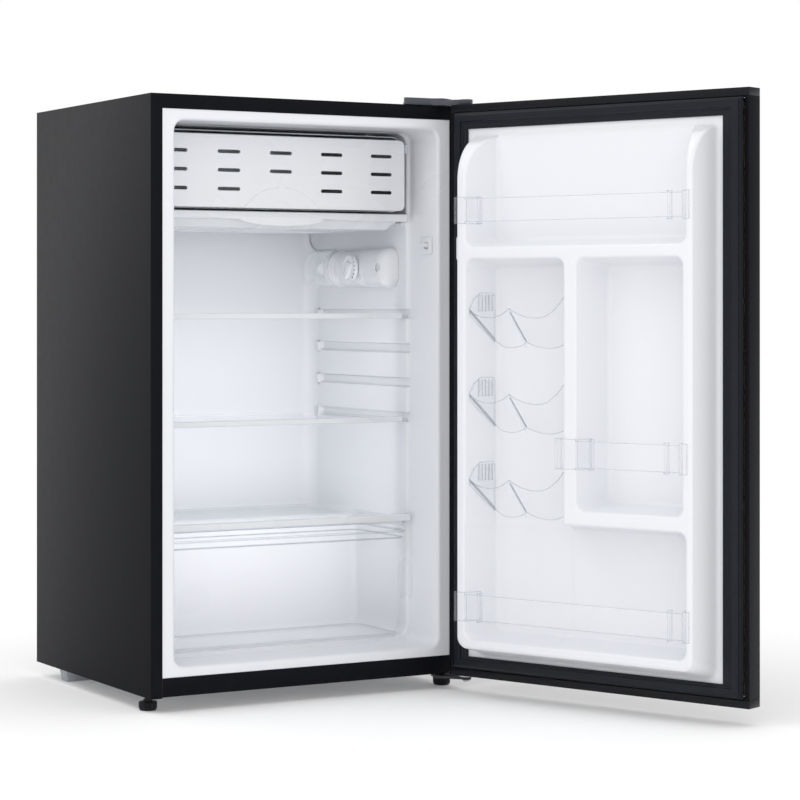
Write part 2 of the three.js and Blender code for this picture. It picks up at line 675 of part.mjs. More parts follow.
/** Top hinge plate, screwed to the cabinet's top. */
function topHingePlate() {
  const low = HEIGHT + GAP;
  return cut(
    prism(hingeArm(0, TOP_PLATE.left, TOP_PLATE.back), 'z', low, low + TOP_PLATE.thick),
    bar('z', [PIN.x, PIN.y, 0], PIN.radius + 0.1, low - 1, low + 6, 16),
    ...TOP_SCREWS.map(([x, y]) => bar('z', [x, y, 0], 2.6, low - 1, low + 6, 12)),
  );
}

/** Pan-head screw standing on the top hinge plate. */
function hingeScrew([x, y]) {
  const seat = HEIGHT + GAP + TOP_PLATE.thick + GAP;
  const profile = [[0, seat - 3.2], [2.2, seat - 3.2], [2.2, seat], [4.6, seat], [4.6, seat + 1.4],
    [3.4, seat + 2.6], [0, seat + 2.6]];
  return turned(profile, 'z', [x, y, 0], 12);
}

/** Black cover over the top hinge: a tall block over the screws and a lower arm over the pin. */
function topHingeCover() {
  const low = HEIGHT + GAP;
  const plate = low + TOP_PLATE.thick + GAP;
  const lower = prism(hingeArm(2, 424, 52), 'z', low, low + 7.2);
  const blockPlan = [[424, 54], [394, 4], [393, -1], [400, -3], [436, -4], [447, -12], [458, -9], [484, 10],
    [484, 54]];
  const block = prism(blockPlan, 'z', low, low + 9.6);
  return cut(
    join(lower, block),
    prism(hingeArm(0.4, TOP_PLATE.left - 1, TOP_PLATE.back + 1), 'z', low - 1, plate),
    box(414, 478, 3, 30, low, plate + 4),
    bar('z', [PIN.x, PIN.y, 0], PIN.radius + 2, low - 1, low + 6, 16),
  );
}

/** Hinge pin with a small head. */
function hingePin(from, to, headFrom, headTo) {
  const profile = [[0, from], [PIN.radius, from], [PIN.radius, headFrom], [PIN.radius + 1.6, headFrom],
    [PIN.radius + 1.6, headTo], [PIN.radius, headTo], [PIN.radius, to], [0, to]];
  return turned(profile, 'z', [PIN.x, PIN.y, 0], 16);
}

/** Bottom hinge: a plate under the cabinet's corner that reaches out to the pin. */
function bottomHingePlate() {
  return cut(
    prism(hingeArm(0, 447, 18), 'z', -5.5, -1.8),
    bar('z', [PIN.x, PIN.y, 0], PIN.radius + 0.1, -7, 0, 16),
  );
}

/** Nylon bush that the door turns on. */
function hingeBush() {
  const profile = [[PIN.radius + GAP, -1.5], [9, -1.5], [9, 0.6], [7, 2.1], [PIN.radius + GAP, 2.1],
    [PIN.radius + GAP, -1.5]];
  return turned(profile, 'z', [PIN.x, PIN.y, 0], 16);
}

// ---------------------------------------------------------------- door, in its closed place
/** A box given from the hinge edge (u), inward from the inner face (w) and up (z). */
function doorBox(u0, u1, w0, w1, z0, z1) {
  return box(WIDTH - u1, WIDTH - u0, w0 - DOOR_GAP, w1 - DOOR_GAP, z0, z1);
}

/** A body lofted inward through rounded rectangles [w, u0, u1, z0, z1, radius]. */
function doorLoft(stations) {
  return loftBack(stations.map(([w, u0, u1, z0, z1, radius]) =>
    [w - DOOR_GAP, roundRect(WIDTH - u1, WIDTH - u0, z0, z1, radius, 5)]));
}

/** The door's outline from above: square towards the cabinet, rounded outside. */
function doorPlan(inset) {
  const [left, right] = [inset, WIDTH - inset];
  const [outside, inside] = [-DOOR_GAP - DOOR_THICK + inset, -DOOR_GAP];
  const radius = 8 - inset;
  const corner = (x, quarter) => Array.from({ length: 6 }, (_, i) => {
    const angle = ((quarter + i / 5) * Math.PI) / 2;
    return [x + radius * Math.cos(angle), outside + radius + radius * Math.sin(angle)];
  });
  return [[right, inside], [left, inside], ...corner(left + radius, 2), ...corner(right - radius, 3)];
}

const PANEL_LOW = DOOR_LOW + CAP_HEIGHT;
const PANEL_HIGH = DOOR_HIGH - CAP_HEIGHT;

/** Painted steel outer skin with its edges folded in over the liner. */
function doorSkin() {
  const inner = doorPlan(STEEL).map(([x, y]) => [x, y === -DOOR_GAP ? y - STEEL : y]);
  return cut(
    prism(doorPlan(0), 'z', PANEL_LOW, PANEL_HIGH),
    prism(inner, 'z', PANEL_LOW - 1, PANEL_HIGH + 1),
    box(7, WIDTH - 7, -DOOR_GAP - 4, -DOOR_GAP + 1, PANEL_LOW - 1, PANEL_HIGH + 1),
  );
}

/** Moulded cap that closes one end of the door, bored for the hinge pin. */
function doorCap(low, high) {
  return cut(
    prism(doorPlan(0), 'z', low, high),
    bar('z', [PIN.x, PIN.y, 0], PIN.radius + 0.4, low - 1, high + 1, 16),
  );
}

/** Hollows behind the raised parts of the liner, [u0, u1, z0, z1] at the back and at the tip. */
const MEMBERS = [
  [[49, 82, 48, 700], [54, 62.5, 60, 690]],
  [[407, 432, 48, 700], [425.4, 428.4, 60, 690]],
  [[60, 426, 583.5, 614.5], [60, 426, 593.2, 605.2]],
  [[215.5, 267, 236, 600], [233.3, 247.7, 238, 600]],
  [[240, 426, 224.5, 258.5], [240, 426, 235, 249]],
  [[60, 426, 42, 72], [60, 426, 54.5, 62.5]],
];

/** Lofts for those hollows, narrowed by an allowance. */
function memberSolids(narrow) {
  const depths = [-3, DIKE_DEPTH - SKIN - narrow];
  return MEMBERS.map((ends) => doorLoft(ends.map(([u0, u1, z0, z1], i) =>
    [depths[i], u0 + narrow, u1 - narrow, z0 + narrow / 2, z1 - narrow / 2, 0.2])));
}

/** The door liner's raised dike before its recesses are cut. */
function dikeBlock() {
  const { u0, u1, low, high, draft, lowDraft, radius } = DIKE;
  const block = doorLoft([
    [-0.5, u0, u1, low, high + 60, radius],
    [DIKE_DEPTH, u0 + draft, u1 - draft, low + lowDraft, high + 60, radius],
  ]);
  const ramp = Array.from({ length: 9 }, (_, i) => {
    const angle = (Math.PI * i) / 16;
    return [-DOOR_GAP + DIKE_DEPTH * Math.cos(angle), high - 62 + 62 * Math.sin(angle)];
  });
  const side = [[-DOOR_GAP - 2, low - 10], [60, low - 10], [60, high - 62], ...ramp, [-DOOR_GAP - 2, high]];
  return block.intersect(prism(side, 'x', 0, WIDTH));
}

/** A recess in the dike: wide at its rim, narrower at its floor; open upward if asked. */
function recess(u0, u1, z0, z1, sideDraft, openTop = false) {
  const floor = 0.5;
  const top = openTop ? z1 : z1 - 10;
  return doorLoft([
    [floor, u0 + sideDraft, u1 - sideDraft * 0.9, z0 + 9, top, 8],
    [DIKE_DEPTH + 1, u0, u1, z0, z1, 14],
  ]);
}

/** White door liner: flange, dike with its recesses, ledge, rib, bottle shelf and switch striker. */
function doorLiner() {
  const sheet = doorBox(10, WIDTH - 10, -1.7, 0, PANEL_LOW + 0.6, PANEL_HIGH - 0.6);
  const raised = cut(
    dikeBlock(),
    recess(RIM.u0, RIM.u1, LEDGE.high, 830, 20, true),
    recess(RIM.u0, RIB.u0, BIN_FLOOR, LEDGE.low, 20),
    recess(RIB.u1, RIM.u1 - 5, BOTTLE_SHELF.high, LEDGE.low, 20),
    recess(RIM.u0, RIM.u1, BIN_FLOOR, BOTTLE_SHELF.low, 20),
  );
  const striker = doorBox(47.4, 56, 28, 52, 590, 622);
  return cut(join(sheet, raised, striker), ...memberSolids(0));
}

/** Insulation in the door, with fingers into the liner's raised parts. */
function doorFoam() {
  return join(
    prism(doorPlan(STEEL + GAP).map(([x, y]) => [x, Math.min(y, -DOOR_GAP - 2)]), 'z',
      PANEL_LOW + GAP, PANEL_HIGH - GAP),
    ...memberSolids(GAP * 1.5),
  );
}

/** Magnetic gasket: a stepped black frame round the door's inner face. */
function doorGasket() {
  const [low, high] = [PANEL_LOW + 1, PANEL_HIGH - 1];
  const frame = ([w0, w1], [u0, u1, z0, z1], hole) =>
    cut(doorBox(u0, u1, w0, w1, z0, z1), doorBox(hole[0], hole[1], w0 - 1, w1 + 1, hole[2], hole[3]));
  const base = [9, WIDTH - 8, low, high];
  const inward = (by) => [base[0] + by, base[1] - by, base[2] + by, base[3] - by];
  return join(
    frame([GAP, 3.5], base, [31.3, 446.5, 32, 775.2]),
    frame([3.2, 7], inward(1), inward(16)),
    frame([6.8, DOOR_GAP - 0.5], inward(3.5), inward(13.5)),
  );
}

/** A solid pushed up from a plan given as (u, w) points of the door. */
function doorPrism(plan, z0, z1) {
  return prism(plan.map(([u, w]) => [WIDTH - u, w - DOOR_GAP]).reverse(), 'z', z0, z1);
}

/** Clear guard rail: a face bar with a taller tab, a clip arm and a post at each end. */
function guardRail(low, high, ends) {
  const [inner, outer] = [DIKE_DEPTH + 1.5, DIKE_DEPTH + 4.5];
  const slope = 0.38;
  const rise = 2.5;
  const clips = ends.flatMap(({ tab, rim, side, reach, hook }) => {
    const at = (offset) => rim + side * offset;
    const face = [[tab, outer], [at(3), outer], [at(3), inner], [tab, inner]];
    const arm = [[at(0.4), outer], [at(2.8), outer], [at(2.8 + slope * reach), outer - reach],
      [at(0.4 + slope * reach), outer - reach]];
    const post = [[at(24), outer], [at(26.4), outer], [at(26.4), inner - 9], [at(24), inner - 9]];
    const lip = [[tab, outer], [tab + side * 2.2, outer], [tab + side * 2.2, inner - 12],
      [tab, inner - 12]];
    return (hook ? [face, arm, post, lip] : [face, arm, post]).map(
      (plan) => doorPrism(plan, low - rise, high + rise));
  });
  return join(doorBox(ends[0].tab, ends[1].tab, inner, outer, low, high), ...clips);
}

/** The ends of a rail that runs from one side cheek to the other. */
const CHEEK_ENDS = [
  { tab: 50.4, rim: RIM.u0, side: 1, reach: 26 },
  { tab: 430.2, rim: RIM.u1, side: -1, reach: 26 },
];
const BOTTLE_ENDS = [
  { tab: RIB.u0 - 11, rim: RIB.u1, side: 1, reach: 26, hook: true },
  { ...CHEEK_ENDS[1], tab: 427, rim: RIM.u1 - 5 },
];

const RACK = { front: 50, back: 12, left: [68.5, 84], right: [228, 215.5], drop: 41, wall: 2.4 };

/** Height of a rack's two-cradled edge above its lowest line at a fraction across it. */
function cradle(t, [left, peak, right]) {
  const middle = 0.43;
  const across = t < middle ? t / middle : (t - middle) / (1 - middle);
  const rise = Math.abs(2 * across - 1) ** 2.2;
  const [start, end] = t < middle ? [left, peak] : [peak, right];
  return rise * (across < 0.5 ? start : end);
}

/** Side plate of a rack, lying along a sloping wall; side is +1 on the left wall. */
function rackCheek(level, [front, back], side) {
  const { drop, wall } = RACK;
  const u = (w) => front + ((back - front) * (RACK.front - w)) / (RACK.front - RACK.back);
  const outline = [[50, level + 3], [50, level + 12], [44, level + 25], [34, level + 34], [14, level + 34],
    [12, level + 30], [12, level - drop + 6], [22, level - drop + 16], [36, level - 12]];
  const face = (offset) => outline.map(([w, z]) => [WIDTH - u(w) - side * offset, w - DOOR_GAP, z]);
  return loft([face(0), face(wall)], (p) => [p[1], p[2]]);
}

/** Clear can rack: a sheet with two cradles that slopes down towards the door, and its cheeks. */
function canRack(level) {
  const { front, back, left, right, drop, wall } = RACK;
  const steps = Array.from({ length: 25 }, (_, i) => i / 24);
  const section = (w, u0, u1, low, heights) => {
    const edge = steps.map((t) => [u0 + t * (u1 - u0), low + cradle(t, heights)]);
    const under = [...edge].reverse().map(([u, z]) => [u, z - wall]);
    return [...edge, ...under].map(([u, z]) => [WIDTH - u, w - DOOR_GAP, z]);
  };
  const sheet = loft([
    section(back, left[1], right[1], level - drop, [12, 8, 14]),
    section(front, left[0], right[0], level, [11, 13, 29]),
  ], (p) => [p[0], p[2]]);
  return join(sheet, rackCheek(level, left, 1));
}

// ---------------------------------------------------------------- assembly
const fridge = new THREE.Group();

/** A group for a piece or set of pieces that moves on its own. */
function moving(parent = fridge) {
  const group = new THREE.Group();
  parent.add(group);
  return group;
}

add(fridge, 'cabinet_shell', cabinetShell(), PAINT);
add(fridge, 'front_rail', frontRail(), PAINT);
add(fridge, 'base_panel', basePanel(), BARE_STEEL);
add(fridge, 'back_panel', backPanel(), PAINT);
add(fridge, 'inner_liner', innerLiner(), LINER_WHITE);
add(fridge, 'cabinet_foam', cabinetFoam(), FOAM);
add(fridge, 'rear_foot_left', rearFoot(), GREY_PLASTIC);
add(fridge, 'rear_foot_right', mirrored(rearFoot()), GREY_PLASTIC);
add(fridge, 'compressor_base', compressorBase(), BARE_STEEL);
add(fridge, 'compressor', compressor(), ENAMEL);
add(fridge, 'relay_box', relayBox(), BLACK_PLASTIC);
[[-1, -1], [1, -1], [0, 1]].forEach(([sideX, sideY], i) => {
  add(fridge, `compressor_grommet_${i + 1}`, grommet(sideX, sideY), RUBBER);
});
add(fridge, 'evaporation_pan', evaporationPan(), BLACK_PLASTIC);
add(fridge, 'filter_drier', filterDrier(), COPPER);
add(fridge, 'discharge_tube', dischargeTube(), COPPER);
add(fridge, 'suction_tube', suctionTube(), COPPER);
add(fridge, 'condenser', condenser(), BARE_STEEL);
add(fridge, 'cord_inlet', cordInlet(), BLACK_PLASTIC);
add(fridge, 'ice_box', iceBox(), ALUMINIUM);
add(fridge, 'control_housing', controlHousing(), WHITE);
add(fridge, 'thermostat', thermostat(), BARE_STEEL);
add(fridge, 'lamp', lamp(), CLEAR);
add(fridge, 'lamp_cover', lampCover(), CLEAR);
add(fridge, 'sensing_tube', sensingTube(), BARE_STEEL);
add(fridge, 'switch_housing', switchHousing(), WHITE);
add(fridge, 'top_hinge_plate', topHingePlate(), BARE_STEEL);
TOP_SCREWS.forEach((place, i) => {
  add(fridge, `top_hinge_screw_${i + 1}`, hingeScrew(place), BARE_STEEL);
});
add(fridge, 'top_hinge_cover', topHingeCover(), BLACK_PLASTIC);
add(fridge, 'top_hinge_pin', hingePin(DOOR_HIGH - 9, HEIGHT + 5.8, HEIGHT + 3.7, HEIGHT + 5.2), BARE_STEEL);
add(fridge, 'bottom_hinge_plate', bottomHingePlate(), BLACK_PLASTIC);
add(fridge, 'bottom_hinge_pin', hingePin(-8.5, DOOR_LOW + 9, -7.6, -5.9), BARE_STEEL);
add(fridge, 'bottom_hinge_bush', hingeBush(), WHITE);

FOOT_CENTRES.forEach((centre, i) => {
  add(moving(), `levelling_foot_${['left', 'right'][i]}`, levellingFoot(centre), BLACK_PLASTIC);
});
add(moving(), 'ice_box_flap', iceBoxFlap(), WHITE);
add(moving(), 'drip_tray', dripTray(), WHITE);
Object.entries(SHELF_LEVELS).forEach(([name, level]) => {
  const shelf = moving();
  add(shelf, `${name}_shelf_glass`, shelfGlass(level), CLEAR);
  const trim = shelfTrim(level - 0.5, level + 7.4, 50.5, WIDTH - 50.5, 79, 93, level + 0.5);
  add(shelf, `${name}_shelf_trim`, trim, WHITE);
});
const cover = moving();
add(cover, 'crisper_cover_glass', crisperCoverGlass(), CLEAR);
const coverTrim = shelfTrim(
  COVER.low, COVER.high, 41.5, WIDTH - 41.5, COVER.front, COVER.front + 9.5, COVER.glassLow);
add(cover, 'crisper_cover_trim', coverTrim, WHITE);
add(moving(), 'crisper_drawer', crisperDrawer(), CLEAR);
add(moving(), 'thermostat_knob', knob(), WHITE);
add(moving(), 'switch_plunger', switchPlunger(), WHITE);

const hinge = moving();
hinge.position.set(PIN.x, PIN.y, 0);
hinge.rotation.z = THREE.MathUtils.degToRad(DOOR_ANGLE);
const door = moving(hinge);
door.position.set(-PIN.x, -PIN.y, 0);
add(door, 'door_skin', doorSkin(), PAINT);
add(door, 'door_top_cap', doorCap(PANEL_HIGH + GAP, DOOR_HIGH), BLACK_PLASTIC);
add(door, 'door_bottom_cap', doorCap(DOOR_LOW, PANEL_LOW - GAP), BLACK_PLASTIC);
add(door, 'door_foam', doorFoam(), FOAM);
add(door, 'door_liner', doorLiner(), LINER_WHITE);
add(door, 'door_gasket', doorGasket(), GASKET);
add(door, 'top_guard_rail', guardRail(642, 674.5, CHEEK_ENDS), CLEAR);
add(door, 'bottle_guard_rail', guardRail(309.5, 345.5, BOTTLE_ENDS), CLEAR);
add(door, 'bottom_guard_rail', guardRail(92, 127.5, CHEEK_ENDS), CLEAR);
[510.5, 393, 275.5].forEach((level, i) => {
  add(door, `can_rack_${['upper', 'middle', 'lower'][i]}`, canRack(level), CLEAR);
});

fridge.updateMatrixWorld(true);
const extent = new THREE.Box3().setFromObject(fridge, true);
const middle = extent.getCenter(new THREE.Vector3());
fridge.position.set(-middle.x, -middle.y, -extent.min.z);

export default fridge;
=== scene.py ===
import json
import math

import bmesh
import bpy
import numpy as np
from mathutils import Matrix, Vector


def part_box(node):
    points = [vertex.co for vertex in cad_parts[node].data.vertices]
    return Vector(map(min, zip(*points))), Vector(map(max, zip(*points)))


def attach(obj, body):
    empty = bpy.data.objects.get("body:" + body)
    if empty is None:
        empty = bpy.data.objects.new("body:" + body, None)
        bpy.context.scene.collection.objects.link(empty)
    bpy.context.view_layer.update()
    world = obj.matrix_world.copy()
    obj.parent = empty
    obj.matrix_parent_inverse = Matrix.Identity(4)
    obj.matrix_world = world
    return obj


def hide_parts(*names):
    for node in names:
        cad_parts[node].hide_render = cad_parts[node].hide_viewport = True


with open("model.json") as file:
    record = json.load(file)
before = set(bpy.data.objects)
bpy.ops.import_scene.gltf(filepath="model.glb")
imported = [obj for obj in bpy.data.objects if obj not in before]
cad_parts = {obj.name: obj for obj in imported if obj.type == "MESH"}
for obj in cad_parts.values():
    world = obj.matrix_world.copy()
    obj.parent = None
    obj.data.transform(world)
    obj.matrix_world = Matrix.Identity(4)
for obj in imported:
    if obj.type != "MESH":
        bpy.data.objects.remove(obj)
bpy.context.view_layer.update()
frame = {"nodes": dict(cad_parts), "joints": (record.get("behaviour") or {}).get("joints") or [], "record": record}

# ------------------------------------------------------------------ places and dimensions
# Sizes are in millimetres in the cabinet's own coordinates: X across the front from the left
# side, Y from the front flange to the back, Z up from the cabinet's underside.
MM = 0.001
WIDTH = 485
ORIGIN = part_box("cabinet_shell")[0] + Vector((0, 0, 1.5 * MM))
DOOR = next(j for j in frame["joints"] if j["name"] == "door_hinge")
DOOR_TURN = math.radians(-DOOR["range_deg"][0])
PIN = Vector((DOOR["pos_m"][0], DOOR["pos_m"][1], 0))
DOOR_GAP = 11
PANEL_LOW, PANEL_HIGH = 13.4, 800
FINE = 1  # how much coarser the cells of formed pieces are
SLIM_FINE = min(FINE, 1.1)  # and those of the thinnest pieces


def to_frame(points):
    """Cabinet millimetres to the row frame."""
    return np.asarray(points, float) * MM + np.array(ORIGIN)


def door_matrix():
    """From the closed door's place to where it rests."""
    return Matrix.Translation(PIN) @ Matrix.Rotation(DOOR_TURN, 4, "Z") @ Matrix.Translation(-PIN)


def from_door(points):
    """Door points (u from the hinge edge, w inward, z up) to the row frame, door at rest."""
    u, w, z = np.asarray(points, float).T
    closed = to_frame(np.stack([WIDTH - u, w - DOOR_GAP, z], 1))
    turn = np.array(door_matrix())
    return closed @ turn[:3, :3].T + turn[:3, 3]


# ------------------------------------------------------------------ mesh helpers
def new_object(name, points, faces, material, normals=None, smooth=None):
    """A mesh object in the scene. smooth is the angle in degrees over which edges stay sharp."""
    mesh = bpy.data.meshes.new(name)
    mesh.from_pydata([tuple(p) for p in points], [], faces)
    mesh.validate()
    if normals is not None:
        mesh.normals_split_custom_set_from_vertices([tuple(n) for n in normals])
    elif smooth is not None:
        mesh.shade_smooth()
        mesh.set_sharp_from_angle(angle=math.radians(smooth))
    mesh.materials.append(material)
    item = bpy.data.objects.new(name, mesh)
    bpy.context.scene.collection.objects.link(item)
    return item


def place(item, body, slot, *nodes):
    """Puts a piece on its body and hides the CAD nodes that it stands for. slot is not used."""
    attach(item, body)
    if nodes:
        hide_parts(*nodes)
    return item


def turn_outward(item):
    """Faces of a closed mesh turned to point outward."""
    work = bmesh.new()
    work.from_mesh(item.data)
    bmesh.ops.recalc_face_normals(work, faces=work.faces)
    work.to_mesh(item.data)
    work.free()
    return item


SHARP = math.radians(30)  # edges over this angle are rounded and stay sharp


def bevel(item, width):
    """Rounds an object's edges and keeps its flat faces flat."""
    modifier = item.modifiers.new("bevel", "BEVEL")
    modifier.width = width * MM
    modifier.segments = 2
    modifier.limit_method = "ANGLE"
    modifier.angle_limit = SHARP
    modifier.harden_normals = True
    modifier.miter_outer = "MITER_ARC"
    return item


def clean_edges(item, width):
    """Joins a CAD mesh's flat faces, then rounds its edges."""
    weld = item.modifiers.new("weld", "WELD")
    weld.merge_threshold = 1e-6
    flat = item.modifiers.new("flat", "DECIMATE")
    flat.decimate_type = "DISSOLVE"
    flat.angle_limit = math.radians(0.6)
    bevel(item, width)
    item.data.shade_smooth()
    item.data.set_sharp_from_angle(angle=SHARP)


def stack(rings, closed=False):
    """Faces between rings of equal length, listed one after another."""
    count, size = len(rings), len(rings[0])
    faces = []
    for i in range(count if closed else count - 1):
        for j in range(size):
            a, b = i * size, ((i + 1) % count) * size
            k = (j + 1) % size
            faces.append((a + j, a + k, b + k, b + j))
    return faces


def loft(name, rings, material, to=to_frame, smooth=35):
    """A body through rings of equal length, capped at both ends."""
    points = [p for ring in rings for p in ring]
    faces = stack(rings)
    size = len(rings[0])
    faces.append(tuple(range(size))[::-1])
    faces.append(tuple(range(len(points) - size, len(points))))
    return turn_outward(new_object(name, to(points), faces, material, smooth=smooth))


def arc(centre, radius, start, end, steps):
    """Points on an arc in a plane, angles in degrees."""
    angles = np.radians(np.linspace(start, end, steps))
    return [(centre[0] + radius * math.cos(a), centre[1] + radius * math.sin(a)) for a in angles]


def rounded(x0, x1, y0, y1, radius, steps=6):
    """A rectangle with round corners, anticlockwise from its low right corner."""
    corners = [(x1 - radius, y0 + radius, -90), (x1 - radius, y1 - radius, 0),
               (x0 + radius, y1 - radius, 90), (x0 + radius, y0 + radius, 180)]
    return [p for x, y, a in corners for p in arc((x, y), radius, a, a + 90, steps)]


def turned(name, profile, axis, centre, material, sides):
    """A profile of (radius, height) points turned about an axis, x or y, through a centre."""
    rings = []
    for radius, height in profile:
        ring = []
        for t in np.linspace(0, 2 * math.pi, sides, endpoint=False):
            a, b = max(radius, 0.01) * math.cos(t), max(radius, 0.01) * math.sin(t)
            offset = {"x": (height, a, b), "y": (a, height, b)}[axis]
            ring.append(np.add(centre, offset))
        rings.append(ring)
    return loft(name, rings, material, smooth=30)


def join_objects(name, items):
    """Several objects made into one."""
    bpy.ops.object.select_all(action="DESELECT")
    for item in items:
        item.select_set(True)
    bpy.context.view_layer.objects.active = items[0]
    bpy.ops.object.join()
    items[0].name = name
    items[0].data.name = name
    return items[0]


# ------------------------------------------------------------------ formed sheet shapes
# A formed piece is where a signed distance is zero. Distances are negative in the first region.
def either(a, b, radius):
    """Both regions together, with a fillet where they meet."""
    return np.maximum(np.minimum(a, b), radius) - np.hypot(
        np.maximum(radius - a, 0), np.maximum(radius - b, 0))


def both(a, b, radius):
    """What two regions share, with a rounded edge."""
    return np.minimum(np.maximum(a, b), -radius) + np.hypot(
        np.maximum(a + radius, 0), np.maximum(b + radius, 0))


def between(value, low, high):
    """The region between two planes."""
    return np.abs(value - (low + high) / 2) - (high - low) / 2


def rectangle(x, y, x0, x1, y0, y1, radius):
    """A rounded rectangle pushed along the third axis; its edges may be fields."""
    a = np.abs(x - (x0 + x1) / 2) - (x1 - x0) / 2 + radius
    b = np.abs(y - (y0 + y1) / 2) - (y1 - y0) / 2 + radius
    return np.hypot(np.maximum(a, 0), np.maximum(b, 0)) + np.minimum(np.maximum(a, b), 0) - radius


TILE = 10  # cells along each square within which flat faces are joined
PULL_STEPS = 3  # times that each point is moved towards the surface
PULL_LIMIT = 0.75  # how far it may go, in cells
SLAB = 8  # layers of cells worked out at once, which keeps the memory low


def formed(name, field, low, high, cell, material, to=to_frame, thickness=0, flat=0.35):
    """The surface where field is zero, as a smooth sheet or, without a thickness, a closed body."""
    axes = [np.arange(a, b + cell, cell, dtype=np.float32) for a, b in zip(low, high)]
    x, y, z = (axis.reshape([-1 if i == k else 1 for i in range(3)]) for k, axis in enumerate(axes))
    slabs = []
    for i in range(0, len(axes[0]), SLAB):
        slab = x[i:i + SLAB]
        slabs.append(np.broadcast_to(field(slab, y, z) < 0, (len(slab), y.shape[1], z.shape[2])))
    inside = np.concatenate(slabs)
    count = sum(inside[i:inside.shape[0] - 1 + i, j:inside.shape[1] - 1 + j,
                       k:inside.shape[2] - 1 + k].astype(np.int8)
                for i in (0, 1) for j in (0, 1) for k in (0, 1))
    mixed = (count > 0) & (count < 8)
    number = np.full(mixed.shape, -1, np.int32)
    number[mixed] = np.arange(mixed.sum())
    points = np.stack(np.nonzero(mixed), 1) * cell + np.array(low) + cell / 2

    def slope(p):
        step = 0.02
        return np.stack([(field(*(p + step * e).T) - field(*(p - step * e).T)) / (2 * step)
                         for e in np.eye(3)], 1)

    centre = points.copy()
    reach = PULL_LIMIT * cell
    for _ in range(PULL_STEPS):
        g = slope(points)
        distance = field(*points.T)
        points = points - g * (distance / np.maximum((g * g).sum(1), 0.2))[:, None]
        points = centre + np.clip(points - centre, -reach, reach)
    faces, tiles = [], []
    frame_axes = to(np.eye(3)) - to(np.zeros((3, 3)))
    mirrored = np.linalg.det(frame_axes) < 0
    for axis in range(3):
        other = [k for k in range(3) if k != axis]
        first = inside[tuple(slice(0, -1) if k == axis else slice(1, -1) for k in range(3))]
        second = inside[tuple(slice(1, None) if k == axis else slice(1, -1) for k in range(3))]
        for rising in (True, False):
            where = np.stack(np.nonzero((first & ~second) if rising else (~first & second)), 1)
            corners = []
            for da, db in ((0, 0), (1, 0), (1, 1), (0, 1)):
                at = where.copy()
                at[:, other[0]] += da
                at[:, other[1]] += db
                corners.append(number[tuple(at.T)])
            quads = np.stack(corners, 1)
            flip = (rising == (axis == 1)) != mirrored
            faces.append(quads[:, ::-1] if flip else quads)
            tiles.append((where // TILE).sum(1) % 2)
    work = bmesh.new()
    mesh = bpy.data.meshes.new(name)
    mesh.from_pydata(points, [], np.concatenate(faces).tolist())
    mesh.polygons.foreach_set("material_index", np.concatenate(tiles).astype(np.int32))
    work.from_mesh(mesh)
    bmesh.ops.dissolve_limit(work, angle_limit=math.radians(flat), verts=work.verts,
                             edges=work.edges, delimit={"MATERIAL"})
    bmesh.ops.triangulate(work, faces=[f for f in work.faces if len(f.verts) > 4])
    work.to_mesh(mesh)
    work.free()
    local = np.empty(len(mesh.vertices) * 3)
    mesh.vertices.foreach_get("co", local)
    local = local.reshape(-1, 3)
    g = slope(local)
    g /= np.maximum(np.linalg.norm(g, axis=1), 1e-6)[:, None]
    here = to(local)
    normals = to(local + g) - here
    normals /= np.linalg.norm(normals, axis=1)[:, None]
    polygons = [tuple(p.vertices) for p in mesh.polygons]
    bpy.data.meshes.remove(mesh)
    item = new_object(name, here, polygons, material, normals=normals)
    if thickness:
        wall = item.modifiers.new("wall", "SOLIDIFY")
        wall.thickness = thickness * MM
        wall.offset = -1
    return item


